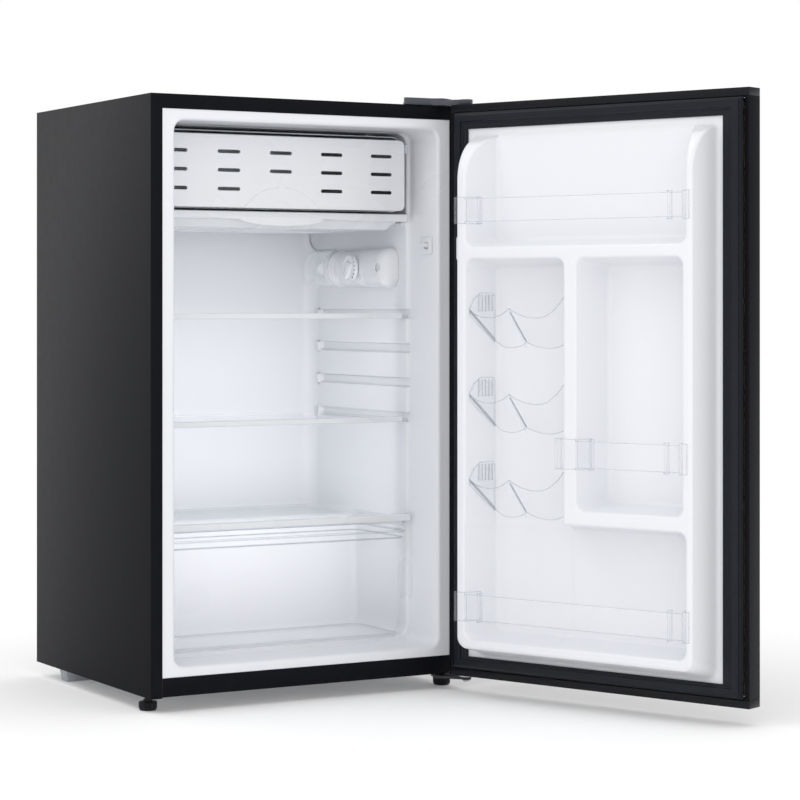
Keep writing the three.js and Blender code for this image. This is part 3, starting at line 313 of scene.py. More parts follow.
# ------------------------------------------------------------------ materials
class Nodes:
    """A small writer for a material's node tree."""

    def __init__(self, name):
        self.material = bpy.data.materials.new(name)
        self.material.use_nodes = True
        self.tree = self.material.node_tree
        self.shader = self.tree.nodes["Principled BSDF"]
        self.place = self.add("ShaderNodeTexCoord").outputs["Object"]

    def add(self, kind, **values):
        node = self.tree.nodes.new(kind)
        for key, value in values.items():
            if key in node.inputs:
                node.inputs[key].default_value = value
            else:
                setattr(node, key, value)
        return node

    def link(self, source, target):
        self.tree.links.new(source, target)

    def noise(self, scale, detail=3, stretch=None):
        """Noise with features about one metre over scale in size."""
        where = self.place
        if stretch:
            mapping = self.add("ShaderNodeMapping")
            mapping.inputs["Scale"].default_value = stretch
            self.link(where, mapping.inputs["Vector"])
            where = mapping.outputs["Vector"]
        node = self.add("ShaderNodeTexNoise", Scale=scale, Detail=detail)
        self.link(where, node.inputs["Vector"])
        return node.outputs["Fac"]

    def spread(self, value, low, high, start=0.3, end=0.7):
        """A value carried from one range to another."""
        node = self.add("ShaderNodeMapRange")
        node.inputs["From Min"].default_value = start
        node.inputs["From Max"].default_value = end
        node.inputs["To Min"].default_value = low
        node.inputs["To Max"].default_value = high
        self.link(value, node.inputs["Value"])
        return node.outputs["Result"]

    def mix(self, factor, first, second):
        """A colour between two, each a colour or an output."""
        node = self.add("ShaderNodeMix", data_type="RGBA")
        self.link(factor, node.inputs["Factor"])
        sockets = [s for s in node.inputs if s.type == "RGBA"]
        for socket, colour in zip(sockets, (first, second)):
            if isinstance(colour, tuple):
                socket.default_value = (*colour, 1)
            else:
                self.link(colour, socket)
        return next(s for s in node.outputs if s.type == "RGBA")

    def edges(self, radius, full=0.75, none=0.98):
        """1 near an outer edge and 0 on a flat face."""
        soft = self.add("ShaderNodeBevel", samples=4)
        soft.inputs["Radius"].default_value = radius
        plain = self.add("ShaderNodeNewGeometry").outputs["Normal"]
        dot = self.add("ShaderNodeVectorMath", operation="DOT_PRODUCT")
        self.link(soft.outputs["Normal"], dot.inputs[0])
        self.link(plain, dot.inputs[1])
        return self.spread(dot.outputs["Value"], 1, 0, full, none)

    def bump(self, layers):
        """Bumps of (height, strength, distance) one on another."""
        last = None
        for height, strength, distance in layers:
            node = self.add("ShaderNodeBump", Strength=strength, Distance=distance)
            self.link(height, node.inputs["Height"])
            if last:
                self.link(last, node.inputs["Normal"])
            last = node.outputs["Normal"]
        self.link(last, self.shader.inputs["Normal"])

    def set(self, **values):
        for key, value in values.items():
            name = key.replace("_", " ")
            self.shader.inputs[name].default_value = value
        return self


def surface(name, colour, other, roughness, grain, patch=14, edge=None, waves=0.04, detail=4,
            **values):
    """An opaque finish: two close colours in soft patches, fine grain, and edges painted in another colour: a
    painted highlight where it is paler, painted shade where it is darker.

    grain is the scale, strength and depth of the fine bumps, and edge the colour and width of the painted edge
    highlight or shade.
    """
    nodes = Nodes(name)
    patches = nodes.noise(patch, detail)
    tone = nodes.mix(nodes.spread(patches, 0, 1, 0.1, 0.9), colour, other)
    speck = nodes.noise(grain[0], 2)
    smear = nodes.noise(patch * 4.3, detail)
    rough = nodes.spread(smear, roughness[0], roughness[1], 0.1, 0.9)
    # Painted light: the edges get the edge colour in noisy patches. A paler edge colour is a painted highlight and
    # a darker one is painted shade.
    if edge:
        painted_edge_mask = nodes.edges(edge[1])
        painted_edge_patches = nodes.add("ShaderNodeMath", operation="MULTIPLY")
        nodes.link(painted_edge_mask, painted_edge_patches.inputs[0])
        nodes.link(nodes.spread(nodes.noise(130, 4), 0.1, 0.8), painted_edge_patches.inputs[1])
        tone = nodes.mix(painted_edge_patches.outputs[0], tone, edge[0])
    nodes.link(tone, nodes.shader.inputs["Base Color"])
    nodes.link(rough, nodes.shader.inputs["Roughness"])
    nodes.bump([(speck, grain[1], grain[2])] + ([(smear, waves, 0.001)] if waves else []))
    return nodes.set(**values).material


def clear(name, colour, edge_shade_colour, alpha, roughness, scale=60, sharp=0.88, **values):
    """A thin clear finish: faint face on, fuller along its edges and at a slant, with flow lines, and its edges
    painted in a darker colour as painted shade that outlines the piece.

    alpha is how full it is face on, at a slant and along its edges.
    """
    nodes = Nodes(name)
    flow = nodes.noise(scale, 3)
    slant = nodes.add("ShaderNodeLayerWeight", Blend=0.35).outputs["Facing"]
    rim = nodes.edges(0.0016, sharp, 0.995)
    tone = nodes.mix(nodes.spread(nodes.noise(9, 2), 0, 1), colour, tuple(c * 0.96 for c in colour))
    # Painted shade: the edges are painted in the darker edge colour and made fuller, which outlines each clear
    # piece.
    tone = nodes.mix(rim, tone, edge_shade_colour)
    fullness = nodes.add("ShaderNodeMath", operation="MAXIMUM")
    nodes.link(nodes.spread(slant, alpha[0], alpha[1], 0.4, 1), fullness.inputs[0])
    nodes.link(nodes.spread(rim, 0, alpha[2], 0, 1), fullness.inputs[1])
    nodes.link(tone, nodes.shader.inputs["Base Color"])
    nodes.link(fullness.outputs[0], nodes.shader.inputs["Alpha"])
    nodes.link(nodes.spread(flow, roughness[0], roughness[1]), nodes.shader.inputs["Roughness"])
    nodes.bump([(flow, 0.04, 0.0008)])
    return nodes.set(**values).material


def brushed(name, colour, other, roughness, stretch):
    """A metal with fine marks along one direction."""
    nodes = Nodes(name)
    lines = nodes.noise(220, 3, stretch)
    tone = nodes.mix(nodes.spread(nodes.noise(30, 4), 0, 1), colour, other)
    nodes.link(tone, nodes.shader.inputs["Base Color"])
    nodes.link(nodes.spread(lines, roughness[0], roughness[1]), nodes.shader.inputs["Roughness"])
    nodes.bump([(lines, 0.08, 0.0002)])
    return nodes.set(Metallic=1.0, Anisotropic=0.3).material


def zinc(name):
    """Galvanised steel with its spangle."""
    nodes = Nodes(name)
    cells = nodes.add("ShaderNodeTexVoronoi", Scale=85.0)
    nodes.link(nodes.place, cells.inputs["Vector"])
    shade = nodes.spread(cells.outputs["Color"], 0, 1, 0.2, 0.8)
    tone = nodes.mix(shade, (0.5, 0.51, 0.53), (0.66, 0.67, 0.69))
    nodes.link(tone, nodes.shader.inputs["Base Color"])
    nodes.link(nodes.spread(shade, 0.32, 0.5, 0, 1), nodes.shader.inputs["Roughness"])
    nodes.bump([(nodes.noise(500, 3), 0.1, 0.0002)])
    return nodes.set(Metallic=1.0).material


# Edge colours are painted along the edges. They are painted highlights on charcoal_paint, black_enamel,
# black_plastic and grey_plastic, and painted shade on hinge_plastic. In the clear finishes they are darker painted
# outlines.
MATERIALS = {
    "charcoal_paint": surface(
        "charcoal_paint", (0.0052, 0.0056, 0.0078), (0.006, 0.0065, 0.009), (0.36, 0.42),
        grain=(1500, 0.22, 0.00015), edge=((0.03, 0.032, 0.038), 0.0012), Specular_IOR_Level=0.06),
    "black_enamel": surface(
        "black_enamel", (0.008, 0.008, 0.009), (0.014, 0.014, 0.016), (0.22, 0.36),
        grain=(700, 0.12, 0.0003), edge=((0.05, 0.05, 0.052), 0.001)),
    "zinc_steel": zinc("zinc_steel"),
    "liner_white": surface(
        "liner_white", (0.84, 0.85, 0.88), (0.83, 0.842, 0.875), (0.27, 0.31), patch=3,
        grain=(420, 0.02, 0.0003), waves=0, detail=0, Coat_Weight=0.08, Coat_Roughness=0.12),
    "white_plastic": surface(
        "white_plastic", (0.82, 0.83, 0.855), (0.81, 0.822, 0.85), (0.25, 0.29), patch=3,
        grain=(650, 0.03, 0.0002), waves=0, detail=0, Coat_Weight=0.08, Coat_Roughness=0.1),
    "clear_plastic": clear("clear_plastic", (0.9, 0.91, 0.95), (0.16, 0.18, 0.23), (0.06, 0.35, 0.85),
                           (0.05, 0.12), Specular_IOR_Level=0.8),
    "rib_plastic": clear("rib_plastic", (0.93, 0.94, 0.97), (0.72, 0.75, 0.82), (0.1, 0.35, 0.5),
                         (0.06, 0.15), Specular_IOR_Level=0.8),
    # Painted light: the drawer plastic is given a faint glow that brightens it.
    "drawer_plastic": clear("drawer_plastic", (0.9, 0.905, 0.93), (0.2, 0.23, 0.3), (0.07, 0.55, 0.8),
                            (0.05, 0.12), sharp=0.95, Specular_IOR_Level=0.8,
                            Emission_Color=(0.95, 0.96, 1, 1), Emission_Strength=0.06),
    "shelf_glass": clear("shelf_glass", (0.84, 0.89, 0.9), (0.5, 0.6, 0.61), (0.05, 0.25, 0.7),
                         (0.02, 0.05), scale=20, Specular_IOR_Level=0.9),
    # Painted light: the lamp cover is given a glow that brightens it.
    "lens_plastic": clear("lens_plastic", (0.9, 0.92, 0.97), (0.2, 0.23, 0.3), (0.07, 0.45, 0.7),
                          (0.05, 0.12), sharp=0.93, Specular_IOR_Level=1.0, Emission_Color=(0.92, 0.95, 1, 1),
                          Emission_Strength=0.16),
    # Painted light: the unlit bulb glass is given a faint glow that brightens it.
    "lamp_glass": clear("lamp_glass", (0.95, 0.95, 0.95), (0.8, 0.8, 0.8), (0.2, 0.5, 0.4),
                        (0.08, 0.16), Emission_Color=(1, 1, 1, 1), Emission_Strength=0.25),
    "black_plastic": surface(
        "black_plastic", (0.0035, 0.004, 0.0065), (0.005, 0.0057, 0.009), (0.24, 0.36),
        grain=(1100, 0.12, 0.0002), edge=((0.05, 0.053, 0.065), 0.0009), Specular_IOR_Level=0.2),
    "hinge_plastic": surface(
        "hinge_plastic", (0.05, 0.054, 0.072), (0.06, 0.065, 0.086), (0.3, 0.42),
        grain=(1100, 0.12, 0.0002), edge=((0.006, 0.006, 0.009), 0.0016)),
    "grey_plastic": surface(
        "grey_plastic", (0.3, 0.315, 0.345), (0.36, 0.375, 0.4), (0.38, 0.55),
        grain=(900, 0.18, 0.0003), edge=((0.5, 0.52, 0.55), 0.0012)),
    "gasket_rubber": surface(
        "gasket_rubber", (0.0045, 0.0063, 0.0105), (0.006, 0.0085, 0.014), (0.3, 0.4),
        grain=(1400, 0.1, 0.0002), patch=24, Specular_IOR_Level=0.24),
    "rubber": surface(
        "rubber", (0.01, 0.01, 0.011), (0.017, 0.017, 0.018), (0.6, 0.8),
        grain=(1500, 0.3, 0.0002)),
    "copper": brushed("copper", (0.62, 0.27, 0.15), (0.45, 0.2, 0.13), (0.2, 0.42), (1, 1, 0.2)),
    "aluminium": brushed("aluminium", (0.74, 0.76, 0.78), (0.66, 0.68, 0.71), (0.28, 0.46),
                         (0.1, 1, 1)),
    "foam": surface(
        "foam", (0.66, 0.5, 0.22), (0.56, 0.4, 0.16), (0.8, 0.95), grain=(500, 0.8, 0.001)),
}
SLOTS = {part["node"]: part["material_slot"] for part in frame["record"]["subparts"]}


# ------------------------------------------------------------------ inner liner
MOUTH = (36.5, 448.5, 38.5, 777.5)  # X and Z limits of the opening, then of the space behind it
SPACE = (42.5, 442.5, 45.6, 776)
SPACE_BACK = 372
GROOVES = (357.5, 408, 458, 508)  # the shelf grooves' lower faces
GROOVE_HEIGHT, GROOVE_START, GROOVE_END = 12.5, 60, 345
COVER_LEVEL = 213.4  # top of the crisper cover's ledges and of the compressor hump
HUMP_FRONT = 234
TRAY_LEVEL = 647.7
LEDGE_START = 84
SWITCH_HOLE = {"y": (19.5, 42.5), "z": (603, 622)}
NICHE_FRONT, NICHE_TOP = 255, 191  # the compressor bay, as it cuts the foam


def liner_space(x, y, z):
    """The space inside the cabinet: negative where there is air."""
    side = np.abs(x - WIDTH / 2)
    lip = 2.5 * np.clip(1 - y / 6, 0, 1.2) ** 2
    front = both(rectangle(x, z, *MOUTH, 15) - lip, y - 80, 2)
    main = both(rectangle(x, z, *SPACE, 18), y - SPACE_BACK, 22)
    space = either(front, main, 3)
    for level in GROOVES:
        slot = both(between(z, level, level + GROOVE_HEIGHT), side - 206, 1.5)
        space = either(space, both(slot, np.maximum(y - GROOVE_END, GROOVE_START - y), 3), 1.5)
    hump = both(HUMP_FRONT - y, z - COVER_LEVEL, 12)
    space = both(space, -hump, 9)
    for level in GROOVES:
        block = np.maximum(between(y, GROOVE_END, GROOVE_END + 7),
                           between(z, level - 2, level + GROOVE_HEIGHT + 1))
        space = both(space, -both(block, 194 - side, 1), 1)
    tray_ledge = np.maximum(between(y, LEDGE_START, GROOVE_END), between(z, TRAY_LEVEL - 4.7, TRAY_LEVEL))
    cover_ledge = np.maximum(between(y, LEDGE_START, 240), between(z, COVER_LEVEL - 7, COVER_LEVEL))
    space = both(space, -both(tray_ledge, 193 - side, 1.2), 2.5)
    return both(space, -both(cover_ledge, 194 - side, 1.2), 2.5)


def liner_sheet(x, y, z):
    """Negative in the liner's plastic, seen from inside the cabinet."""
    hole = np.maximum(np.maximum(between(y, *SWITCH_HOLE["y"]), between(z, *SWITCH_HOLE["z"])),
                      446.6 - x)
    return np.maximum(both(0.8 - y, -liner_space(x, y, z), 2.6), -hole)


def cabinet_block(x, y, z):
    """Negative in the foam between the steel and the liner, 2.6 mm behind the liner's face."""
    outside = np.maximum(np.maximum(between(x, 8, 477), between(y, 3.5, 406.5)), between(z, 1.5, 810.5))
    niche = np.maximum(NICHE_FRONT - y, z - NICHE_TOP)
    return np.maximum(np.maximum(outside, 2.6 - liner_space(x, y, z)), -niche)


def door_block(u, w, z):
    """Negative in the foam between the door's skin and its liner, 2.4 mm behind the liner's face."""
    outside = np.maximum(np.maximum(between(u, 14, 471), -31.5 - w), between(z, 19, 794))
    return np.maximum(outside, door_sheet(u, w, z) + 2.4)


def foam():
    cabinet = formed("cabinet_foam_block", cabinet_block, (2, -2, -2), (483, 412, 814), 7,
                     MATERIALS["foam"], flat=1)
    door = formed("door_foam_block", door_block, (2, -36, 8), (483, 60, 806), 5,
                  MATERIALS["foam"], to=from_door, flat=1)
    place(cabinet, "cabinet", "foam", "cabinet_foam")
    place(door, "door", "foam", "door_foam")


def inner_liner():
    item = formed("inner_liner_sheet", liner_sheet, (11.5, -1, 20.2), (473.4, 376.5, 797.8),
                  2.6 * FINE, MATERIALS["liner_white"], thickness=1.2)
    return place(item, "cabinet", "liner_white", "inner_liner")


# ------------------------------------------------------------------ door liner
DIKE_DEPTH = 56  # how far the liner's raised frame stands out of the door
RIM = (65, 423)  # the u limits of the recesses inside the frame
RECESS_TOP = 591
UPPER_BIN_FLOOR, LOWER_BIN_TOP, BOTTLE_FLOOR, BOTTOM = 607.5, 232.5, 251.5, 65
DIVIDER = (231, 250)  # the u limits of the wall between the can racks and the tall recess


def pocket(u, w, z, u0, u1, z0, z1, top_draft=10):
    """A recess in the door's dike, narrower at its floor; negative inside."""
    depth = np.clip((DIKE_DEPTH + 1 - w) / (DIKE_DEPTH + 0.5), -0.2, 1.1)
    plan = rectangle(u, z, u0 + 20 * depth, u1 - 18 * depth, z0 + 9 * depth, z1 - top_draft * depth, 12)
    return both(plan * 0.95, 0.5 - w, 8)


def door_sheet(u, w, z):
    """Negative in the door liner's plastic."""
    depth = np.clip(w / DIKE_DEPTH, -0.2, 1.1)
    outline = rectangle(u, z, 45 + 6 * depth, 437 - 6 * depth, 38 + 14 * depth, 840, 16)
    ramp = (np.hypot(w / DIKE_DEPTH, np.maximum(z - 700, 0) / 62) - 1) * DIKE_DEPTH
    dike = both(outline * 0.98, ramp, 4.5)
    for hollow in (pocket(u, w, z, *RIM, UPPER_BIN_FLOOR, 880, 0),
                   pocket(u, w, z, RIM[0], DIVIDER[0], BOTTOM, RECESS_TOP),
                   pocket(u, w, z, DIVIDER[1], RIM[1] - 5, BOTTLE_FLOOR, RECESS_TOP),
                   pocket(u, w, z, *RIM, BOTTOM, LOWER_BIN_TOP)):
        dike = both(dike, -hollow, 3.2)
    striker = both(both(between(z, 590, 622), between(w, 28, 52), 2), between(u, 47.4, 60), 2)
    return either(w, either(dike, striker, 2), 6)


def door_liner():
    item = formed("door_liner_sheet", door_sheet, (8.6, -2.2, 14.2), (476.2, 59, 799.6),
                  2.0 * FINE, MATERIALS["liner_white"], to=from_door, thickness=1.1)
    return place(item, "door", "liner_white", "door_liner")


# ------------------------------------------------------------------ can racks
RACK_LEVELS = {"upper": 510.5, "middle": 393, "lower": 275.5}
RACK_FRONT, RACK_BACK = 50, 12  # depths from the door's inner face
RACK_DROP, RACK_WALL = 41, 2.4
RACK_PEAK = 0.43  # where the ridge stands, as a part of the width
CRADLE_POINTS = 15
CHEEK_OUTLINE = ((50, 3), (50, 12), (44, 25), (34, 34), (14, 34), (12, 30), (12, -35), (22, -25),
                 (36, -12))
CHEEK_RIBS = (17, 22, 27, 32, 37)
RIB_REACH = 5.4


def rack_back(w):
    """How far a depth is from the rack's front to its back, from 0 to 1."""
    return (RACK_FRONT - w) / (RACK_FRONT - RACK_BACK)


def rack_left(w):
    """Where the rack's left end lies at a depth: it follows the sloping wall."""
    return 68.5 + 15.5 * rack_back(w)


def cradle_line(w, level):
    """The rack's two-cradled edge at a depth, from its left end to its right."""
    back = rack_back(w)
    left, right = rack_left(w), 228 - 12.5 * back
    ends = [a + (b - a) * back for a, b in ((11, 12), (13, 8), (29, 14))]
    line = []
    for low, high, start, end in ((0, RACK_PEAK, *ends[:2]), (RACK_PEAK, 1, *ends[1:])):
        for part in np.linspace(0, 1, CRADLE_POINTS)[0 if low == 0 else 1:]:
            rise = abs(2 * part - 1) ** 2.2 * (start if part < 0.5 else end)
            line.append((left + (right - left) * (low + (high - low) * part),
                         level - RACK_DROP * back + rise))
    return line


def can_rack(name, level):
    """A clear rack: a sheet with two cradles, a side cheek with ribs and a keel under its ridge."""
    clear_plastic, rib_plastic = MATERIALS["clear_plastic"], MATERIALS["rib_plastic"]
    rings = []
    for w, thin in ((RACK_BACK, 0.5), (RACK_BACK + 0.5, 0), (RACK_FRONT - 0.5, 0), (RACK_FRONT, 0.5)):
        line = cradle_line(w, level)
        rings.append([(u, w, z - thin) for u, z in line]
                     + [(u, w, z - RACK_WALL + thin) for u, z in reversed(line)])
    pieces = [loft("sheet", rings, clear_plastic, from_door, smooth=24)]

    def upright(part, outline, sides, material, width):
        """A plate along the sloping wall, from one distance off it to another."""
        faces = [[(rack_left(w) + side, w, level + z) for w, z in outline] for side in sides]
        pieces.append(bevel(loft(part, faces, material, from_door, smooth=24), width))

    upright("cheek", CHEEK_OUTLINE, (0, RACK_WALL), clear_plastic, 0.5)
    for w in CHEEK_RIBS:
        outline = ((w - 0.6, 8), (w + 0.6, 8), (w + 0.6, 31), (w - 0.6, 31))
        upright("rib", outline, (RACK_WALL, RIB_REACH), rib_plastic, 0.3)
    (front_w, (front_u, front_z)), (back_w, (back_u, back_z)) = (
        (w, cradle_line(w, level)[CRADLE_POINTS - 1]) for w in (RACK_FRONT - 2, RACK_BACK + 2))
    top_front, top_back = front_z - RACK_WALL, back_z - RACK_WALL
    keel = [[(front_u + side, front_w, top_front), (back_u + side, back_w, top_back),
             (back_u + side, back_w, top_back - 9), (front_u + side, front_w, top_front - 3)]
            for side in (-0.8, 0.8)]
    pieces.append(bevel(loft("keel", keel, rib_plastic, from_door), 0.3))
    for piece in pieces:
        bpy.context.view_layer.objects.active = piece
        for modifier in list(piece.modifiers):
            bpy.ops.object.modifier_apply(modifier=modifier.name)
    return place(join_objects(f"can_rack_{name}_moulding", pieces), "door", "clear_plastic",
                 f"can_rack_{name}")


# ------------------------------------------------------------------ ice box flap and drip tray
FLAP = {"x": (40.5, 429.5), "y": (62, 72), "z": (663, 765), "pivot": 752.5, "wall": 2.5}
SLOT_ROWS = (741, 715, 689)
SLOT_STARTS = tuple(48.7 + 81.1 * i for i in range(5))
SLOT_LENGTH, SLOT_HALF = 34.5, 2.4
PLAIN_SPOT = (2, 2)  # the row and column with no slot, over the thumb scoop
SCOOP = {"x": 229.4, "z": 619.2, "radius": 73.4, "depth": 0.7}


def flap_body(x, y, z):
    """Negative in the flap's plastic: a thin dish with slots, a soft rim and a thumb scoop."""
    (x0, x1), (y0, y1), (z0, z1) = FLAP["x"], FLAP["y"], FLAP["z"]
    wall = FLAP["wall"]
    plate = both(rectangle(x, z, x0, x1, z0, z1, 9), between(y, y0, y1), 1.8)
    inner = rectangle(x, z, x0 + wall, x1 - wall, z0 + wall, z1 - wall, 9 - wall)
    body = both(plate, -np.maximum(inner, y0 + wall - y), 0.6)
    circle = np.hypot(x - SCOOP["x"], z - SCOOP["z"]) - SCOOP["radius"]
    body = both(body, -both(circle, y - y0 - SCOOP["depth"], 0.5), 0.4)
    for row, level in enumerate(SLOT_ROWS):
        for column, start in enumerate(SLOT_STARTS):
            if (row, column) != PLAIN_SPOT:
                slot = rectangle(x, z, start, start + SLOT_LENGTH, level - SLOT_HALF,
                                 level + SLOT_HALF, SLOT_HALF - 0.01)
                body = both(body, -slot, 0.5)
    pin_line = np.hypot(y - (y0 + y1) / 2, z - FLAP["pivot"]) - 1.9
    pins = np.maximum(pin_line, np.maximum(between(x, 36.8, 433), -between(x, 43, 427)))
    return either(body, pins, 0.6)


def flap():
    item = formed("ice_box_flap_body", flap_body, (35.6, 60.7, 661.8), (434.2, 73.2, 766.2),
                  1.1 * SLIM_FINE, MATERIALS["white_plastic"])
    return place(item, "ice_box_flap", "white_plastic", "ice_box_flap")


TRAY = {"x": (43.5, 441.5), "front": 74.5, "back": 352, "low": 648, "high": 659, "depth": 10}
RIM_BACK = 77.2
PULL = {"x": 237, "half": 69.5, "drop": 11.5}  # the arched pull in the middle of the rim


def tray_body(x, y, z):
    """Negative in the drip tray: a shallow dish hung in a flange behind a tall rim with a pull."""
    (x0, x1), low, depth = TRAY["x"], TRAY["low"], TRAY["depth"]
    fall = np.clip((low - z) / depth, 0, 1.3)

    def dish_plan(inset, radius):
        """The dish's outline, narrower towards its floor."""
        side = 53 + inset + 10 * fall
        return rectangle(x, y, side, WIDTH - side, 84 + inset + 7 * fall, 342 - inset - 10 * fall, radius)

    outer = both(dish_plan(0, 10), between(z, low - depth - 2, low + 2), 2)
    dish = both(outer, -both(dish_plan(2, 8), low - depth - z, 1.5), 0.7)
    plate = both(np.maximum(between(x, x0, x1), between(y, TRAY["front"] + 1, TRAY["back"])),
                 between(z, low, low + 2), 0.7)
    plate = both(plate, -rectangle(x, y, 54, WIDTH - 54, 85, 341, 9), 0.5)
    front = between(y, TRAY["front"], RIM_BACK)
    rim = both(rectangle(x, z, x0, x1, low, TRAY["high"], 3), front, 1.1)
    arch = np.hypot((x - PULL["x"]) / PULL["half"], (z - low - 2) / PULL["drop"]) - 1
    pull = both(both(arch * 11, z - low - 4, 1), front, 1.1)
    body = either(either(dish, plate, 1), either(rim, pull, 2), 0.6)
    for start in (96, 300):
        slot = rectangle(x, z, start, start + 40, low + 0.4, low + 1.6, 0.5)
        body = both(body, -np.maximum(slot, y - RIM_BACK + 1), 0.3)
    return body


def tray():
    item = formed("drip_tray_body", tray_body, (42.2, 73.2, 634.8), (442.8, 353.4, 660.4),
                  1.3 * SLIM_FINE, MATERIALS["white_plastic"])
    return place(item, "drip_tray", "white_plastic", "drip_tray")


# ------------------------------------------------------------------ thermostat, lamp and knob
WALL_X, LEVEL = 442.2, 582  # the wall that the housing stands on, and its middle
KNOB_Y, DIMPLE_Y = 190, 118
NOSE_START = 122  # where the housing's round front end begins
POWER = 2.4  # how square the section is: 2 is an ellipse


def capsule(x, z, depth, half, taper):
    """A half capsule on the side wall; taper rises from 0 to 1 towards its round end."""
    power = (np.abs((WALL_X - x) / depth) ** POWER + np.abs((z - LEVEL) / half) ** POWER
             + np.clip(taper, 0, 2) ** POWER)
    return (power ** (1 / POWER) - 1) * depth * 0.9


def housing_body(x, y, z):
    """Negative in the thermostat's housing: a hollow capsule, ringed at its neck."""
    narrow = 2.2 * np.clip((y - 128) / 120, 0, 1)
    neck = 1.8 * np.clip((y - 250) / 3, 0, 1)
    rings = sum(high * np.exp(-((y - at) / wide) ** 2)
                for high, at, wide in ((2.2, 259, 1.7), (2.2, 268, 1.7), (1.2, 283.5, 1.8)))
    thick = narrow + neck - rings
    nose = NOSE_START - y
    body = capsule(x, z, 29 - thick, 29.5 - thick, nose / 20)
    body = both(body, np.maximum(y - 284.8, x - WALL_X), 0.8)
    body = np.maximum(body, -capsule(x, z, 26.5 - thick, 27 - thick, nose / 18))
    from_knob = np.hypot(y - KNOB_Y, z - LEVEL)
    from_dimple = np.hypot(y - DIMPLE_Y, z - LEVEL)
    dimple = both(from_dimple - 5.6, x - 417, 1.2)
    cup = both(from_dimple - 7, between(x, 416.2, 419), 0.5)
    groove = both(np.abs(from_knob - 20.8) - 0.9, x - 415.2, 0.4)
    hole = from_knob - 3.6
    return both(either(both(body, -dimple, 1), cup, 0.5), -np.minimum(groove, hole), 0.4)


def housing():
    item = formed("control_housing_body", housing_body, (411.8, 100.5, 550.6), (443.5, 286.4, 613.4),
                  1.0 * FINE, MATERIALS["white_plastic"])
    return place(item, "cabinet", "white_plastic", "control_housing")


def lens_body(x, y, z):
    """Negative in the lamp's clear ribbed cover."""
    ribs = 0.9 * np.abs(np.cos((y - 290) * math.pi / 8.4)) * np.clip((352 - y) / 6, 0, 1)
    end = y - 341
    outer = capsule(x, z, 26.4 + ribs, 26.6 + ribs, end / 27)
    inner = capsule(x, z, 24.8, 25, end / 25.4)
    return both(np.maximum(both(outer, -inner, 0.4), x - WALL_X), 286 - y, 0.4)


def lens():
    item = formed("lamp_cover_lens", lens_body, (413.6, 284.8, 553.4), (443.4, 369.6, 610.8),
                  0.9 * FINE, MATERIALS["lens_plastic"])
    return place(item, "cabinet", "clear_plastic", "lamp_cover")


GRIP_LEAN = math.radians(-75)
MARK_ANGLES = range(130, 231, 20)
MARK_CIRCLE = 17.9


def knob_body(x, y, z):
    """Negative in the knob: a finely ribbed dial with a raised grip set at a slant."""
    radius = np.hypot(y - KNOB_Y, z - LEVEL)
    angle = np.arctan2(z - LEVEL, y - KNOB_Y)
    dial = both(radius - 19.2 - 0.25 * np.cos(40 * angle), between(x, 406.4, 412.8), 1.2)
    along = (y - KNOB_Y) * math.cos(GRIP_LEAN) + (z - LEVEL) * math.sin(GRIP_LEAN)
    across = (z - LEVEL) * math.cos(GRIP_LEAN) - (y - KNOB_Y) * math.sin(GRIP_LEAN)
    width = 6.4 - 0.22 * along
    ridge = x - 402.6 - 0.22 * np.abs(across) + 0.08 * along
    grip = both(both(np.abs(across) - width, np.abs(along - 4) - 12.5, 2.5),
                np.maximum(-ridge, x - 408), 1.2)
    dish = both(radius - 16.8, x - 407.1, 0.5)
    return np.maximum(either(both(dial, -dish, 0.5), grip, 1.2),
                      -np.maximum(radius - 3.3, 409.7 - x))


def knob():
    item = formed("thermostat_knob_body", knob_body, (400.6, 168.6, 560.6), (413.8, 211.4, 603.4),
                  0.7 * FINE, MATERIALS["white_plastic"])
    place(item, "thermostat_knob", "white_plastic", "thermostat_knob")
    marks = []
    for i, angle in enumerate(MARK_ANGLES):
        a = math.radians(angle)
        centre = (0, KNOB_Y + MARK_CIRCLE * math.cos(a), LEVEL + MARK_CIRCLE * math.sin(a))
        size = 0.7 + 0.14 * i
        marks.append(turned(f"mark_{i}", [(size, 406.3), (size, 406.6)], "x", centre,
                            MATERIALS["black_plastic"], sides=14))
    return place(join_objects("thermostat_knob_marks", marks), "thermostat_knob", "black_plastic")


def plunger_body(x, y, z):
    """Negative in the door switch's plunger: a blade with a rounded nose."""
    blade = rectangle(x, z, 438.2, 462, 610.4, 616.2, 1.6)
    root = rectangle(x, z, 449, 462, 608.7, 616.3, 0.3)
    return both(np.minimum(blade, root), between(y, 26.7, 35.3), 0.6)


def plunger():
    item = formed("switch_plunger_blade", plunger_body, (434, 25.6, 609), (455, 36.4, 617.6), 0.6,
                  MATERIALS["white_plastic"])
    return place(item, "switch_plunger", "white_plastic", "switch_plunger")


# ------------------------------------------------------------------ shelf trims and drawer
SHELVES = {"upper": GROOVES[3], "lower": GROOVES[0]}


def trim(name, body, x, y, z, glass):
    """A white strip clipped over a glass plate's front edge."""
    (y0, y1), (z0, z1) = y, z
    profile = arc((y0 + 1.6, z0 + 1.6), 1.6, 180, 270, 5)
    profile += [(y1 - 0.3, z0), (y1, (z0 + glass) / 2), (y1 - 0.3, glass), (y0 + 4, glass),
                (y0 + 4, glass + 4), (y1 - 0.3, glass + 4)]
    profile += arc((y1 - 1, z1 - 1), 1, 0, 90, 4) + arc((y0 + 1.6, z1 - 1.6), 1.6, 90, 180, 5)
    item = loft(f"{name}_strip", [[(at, *p) for p in profile] for at in x], MATERIALS["white_plastic"])
    return place(bevel(item, 0.35), body, "white_plastic", name)


def trims():
    for name, level in SHELVES.items():
        trim(f"{name}_shelf_trim", f"{name}_shelf", (50.5, WIDTH - 50.5), (79, 93),
             (level - 0.5, level + 7.4), level + 0.2)
    trim("crisper_cover_trim", "crisper_cover", (41.5, WIDTH - 41.5), (70, 79.5),
         (COVER_LEVEL + 0.4, COVER_LEVEL + 10), COVER_LEVEL + 0.9)


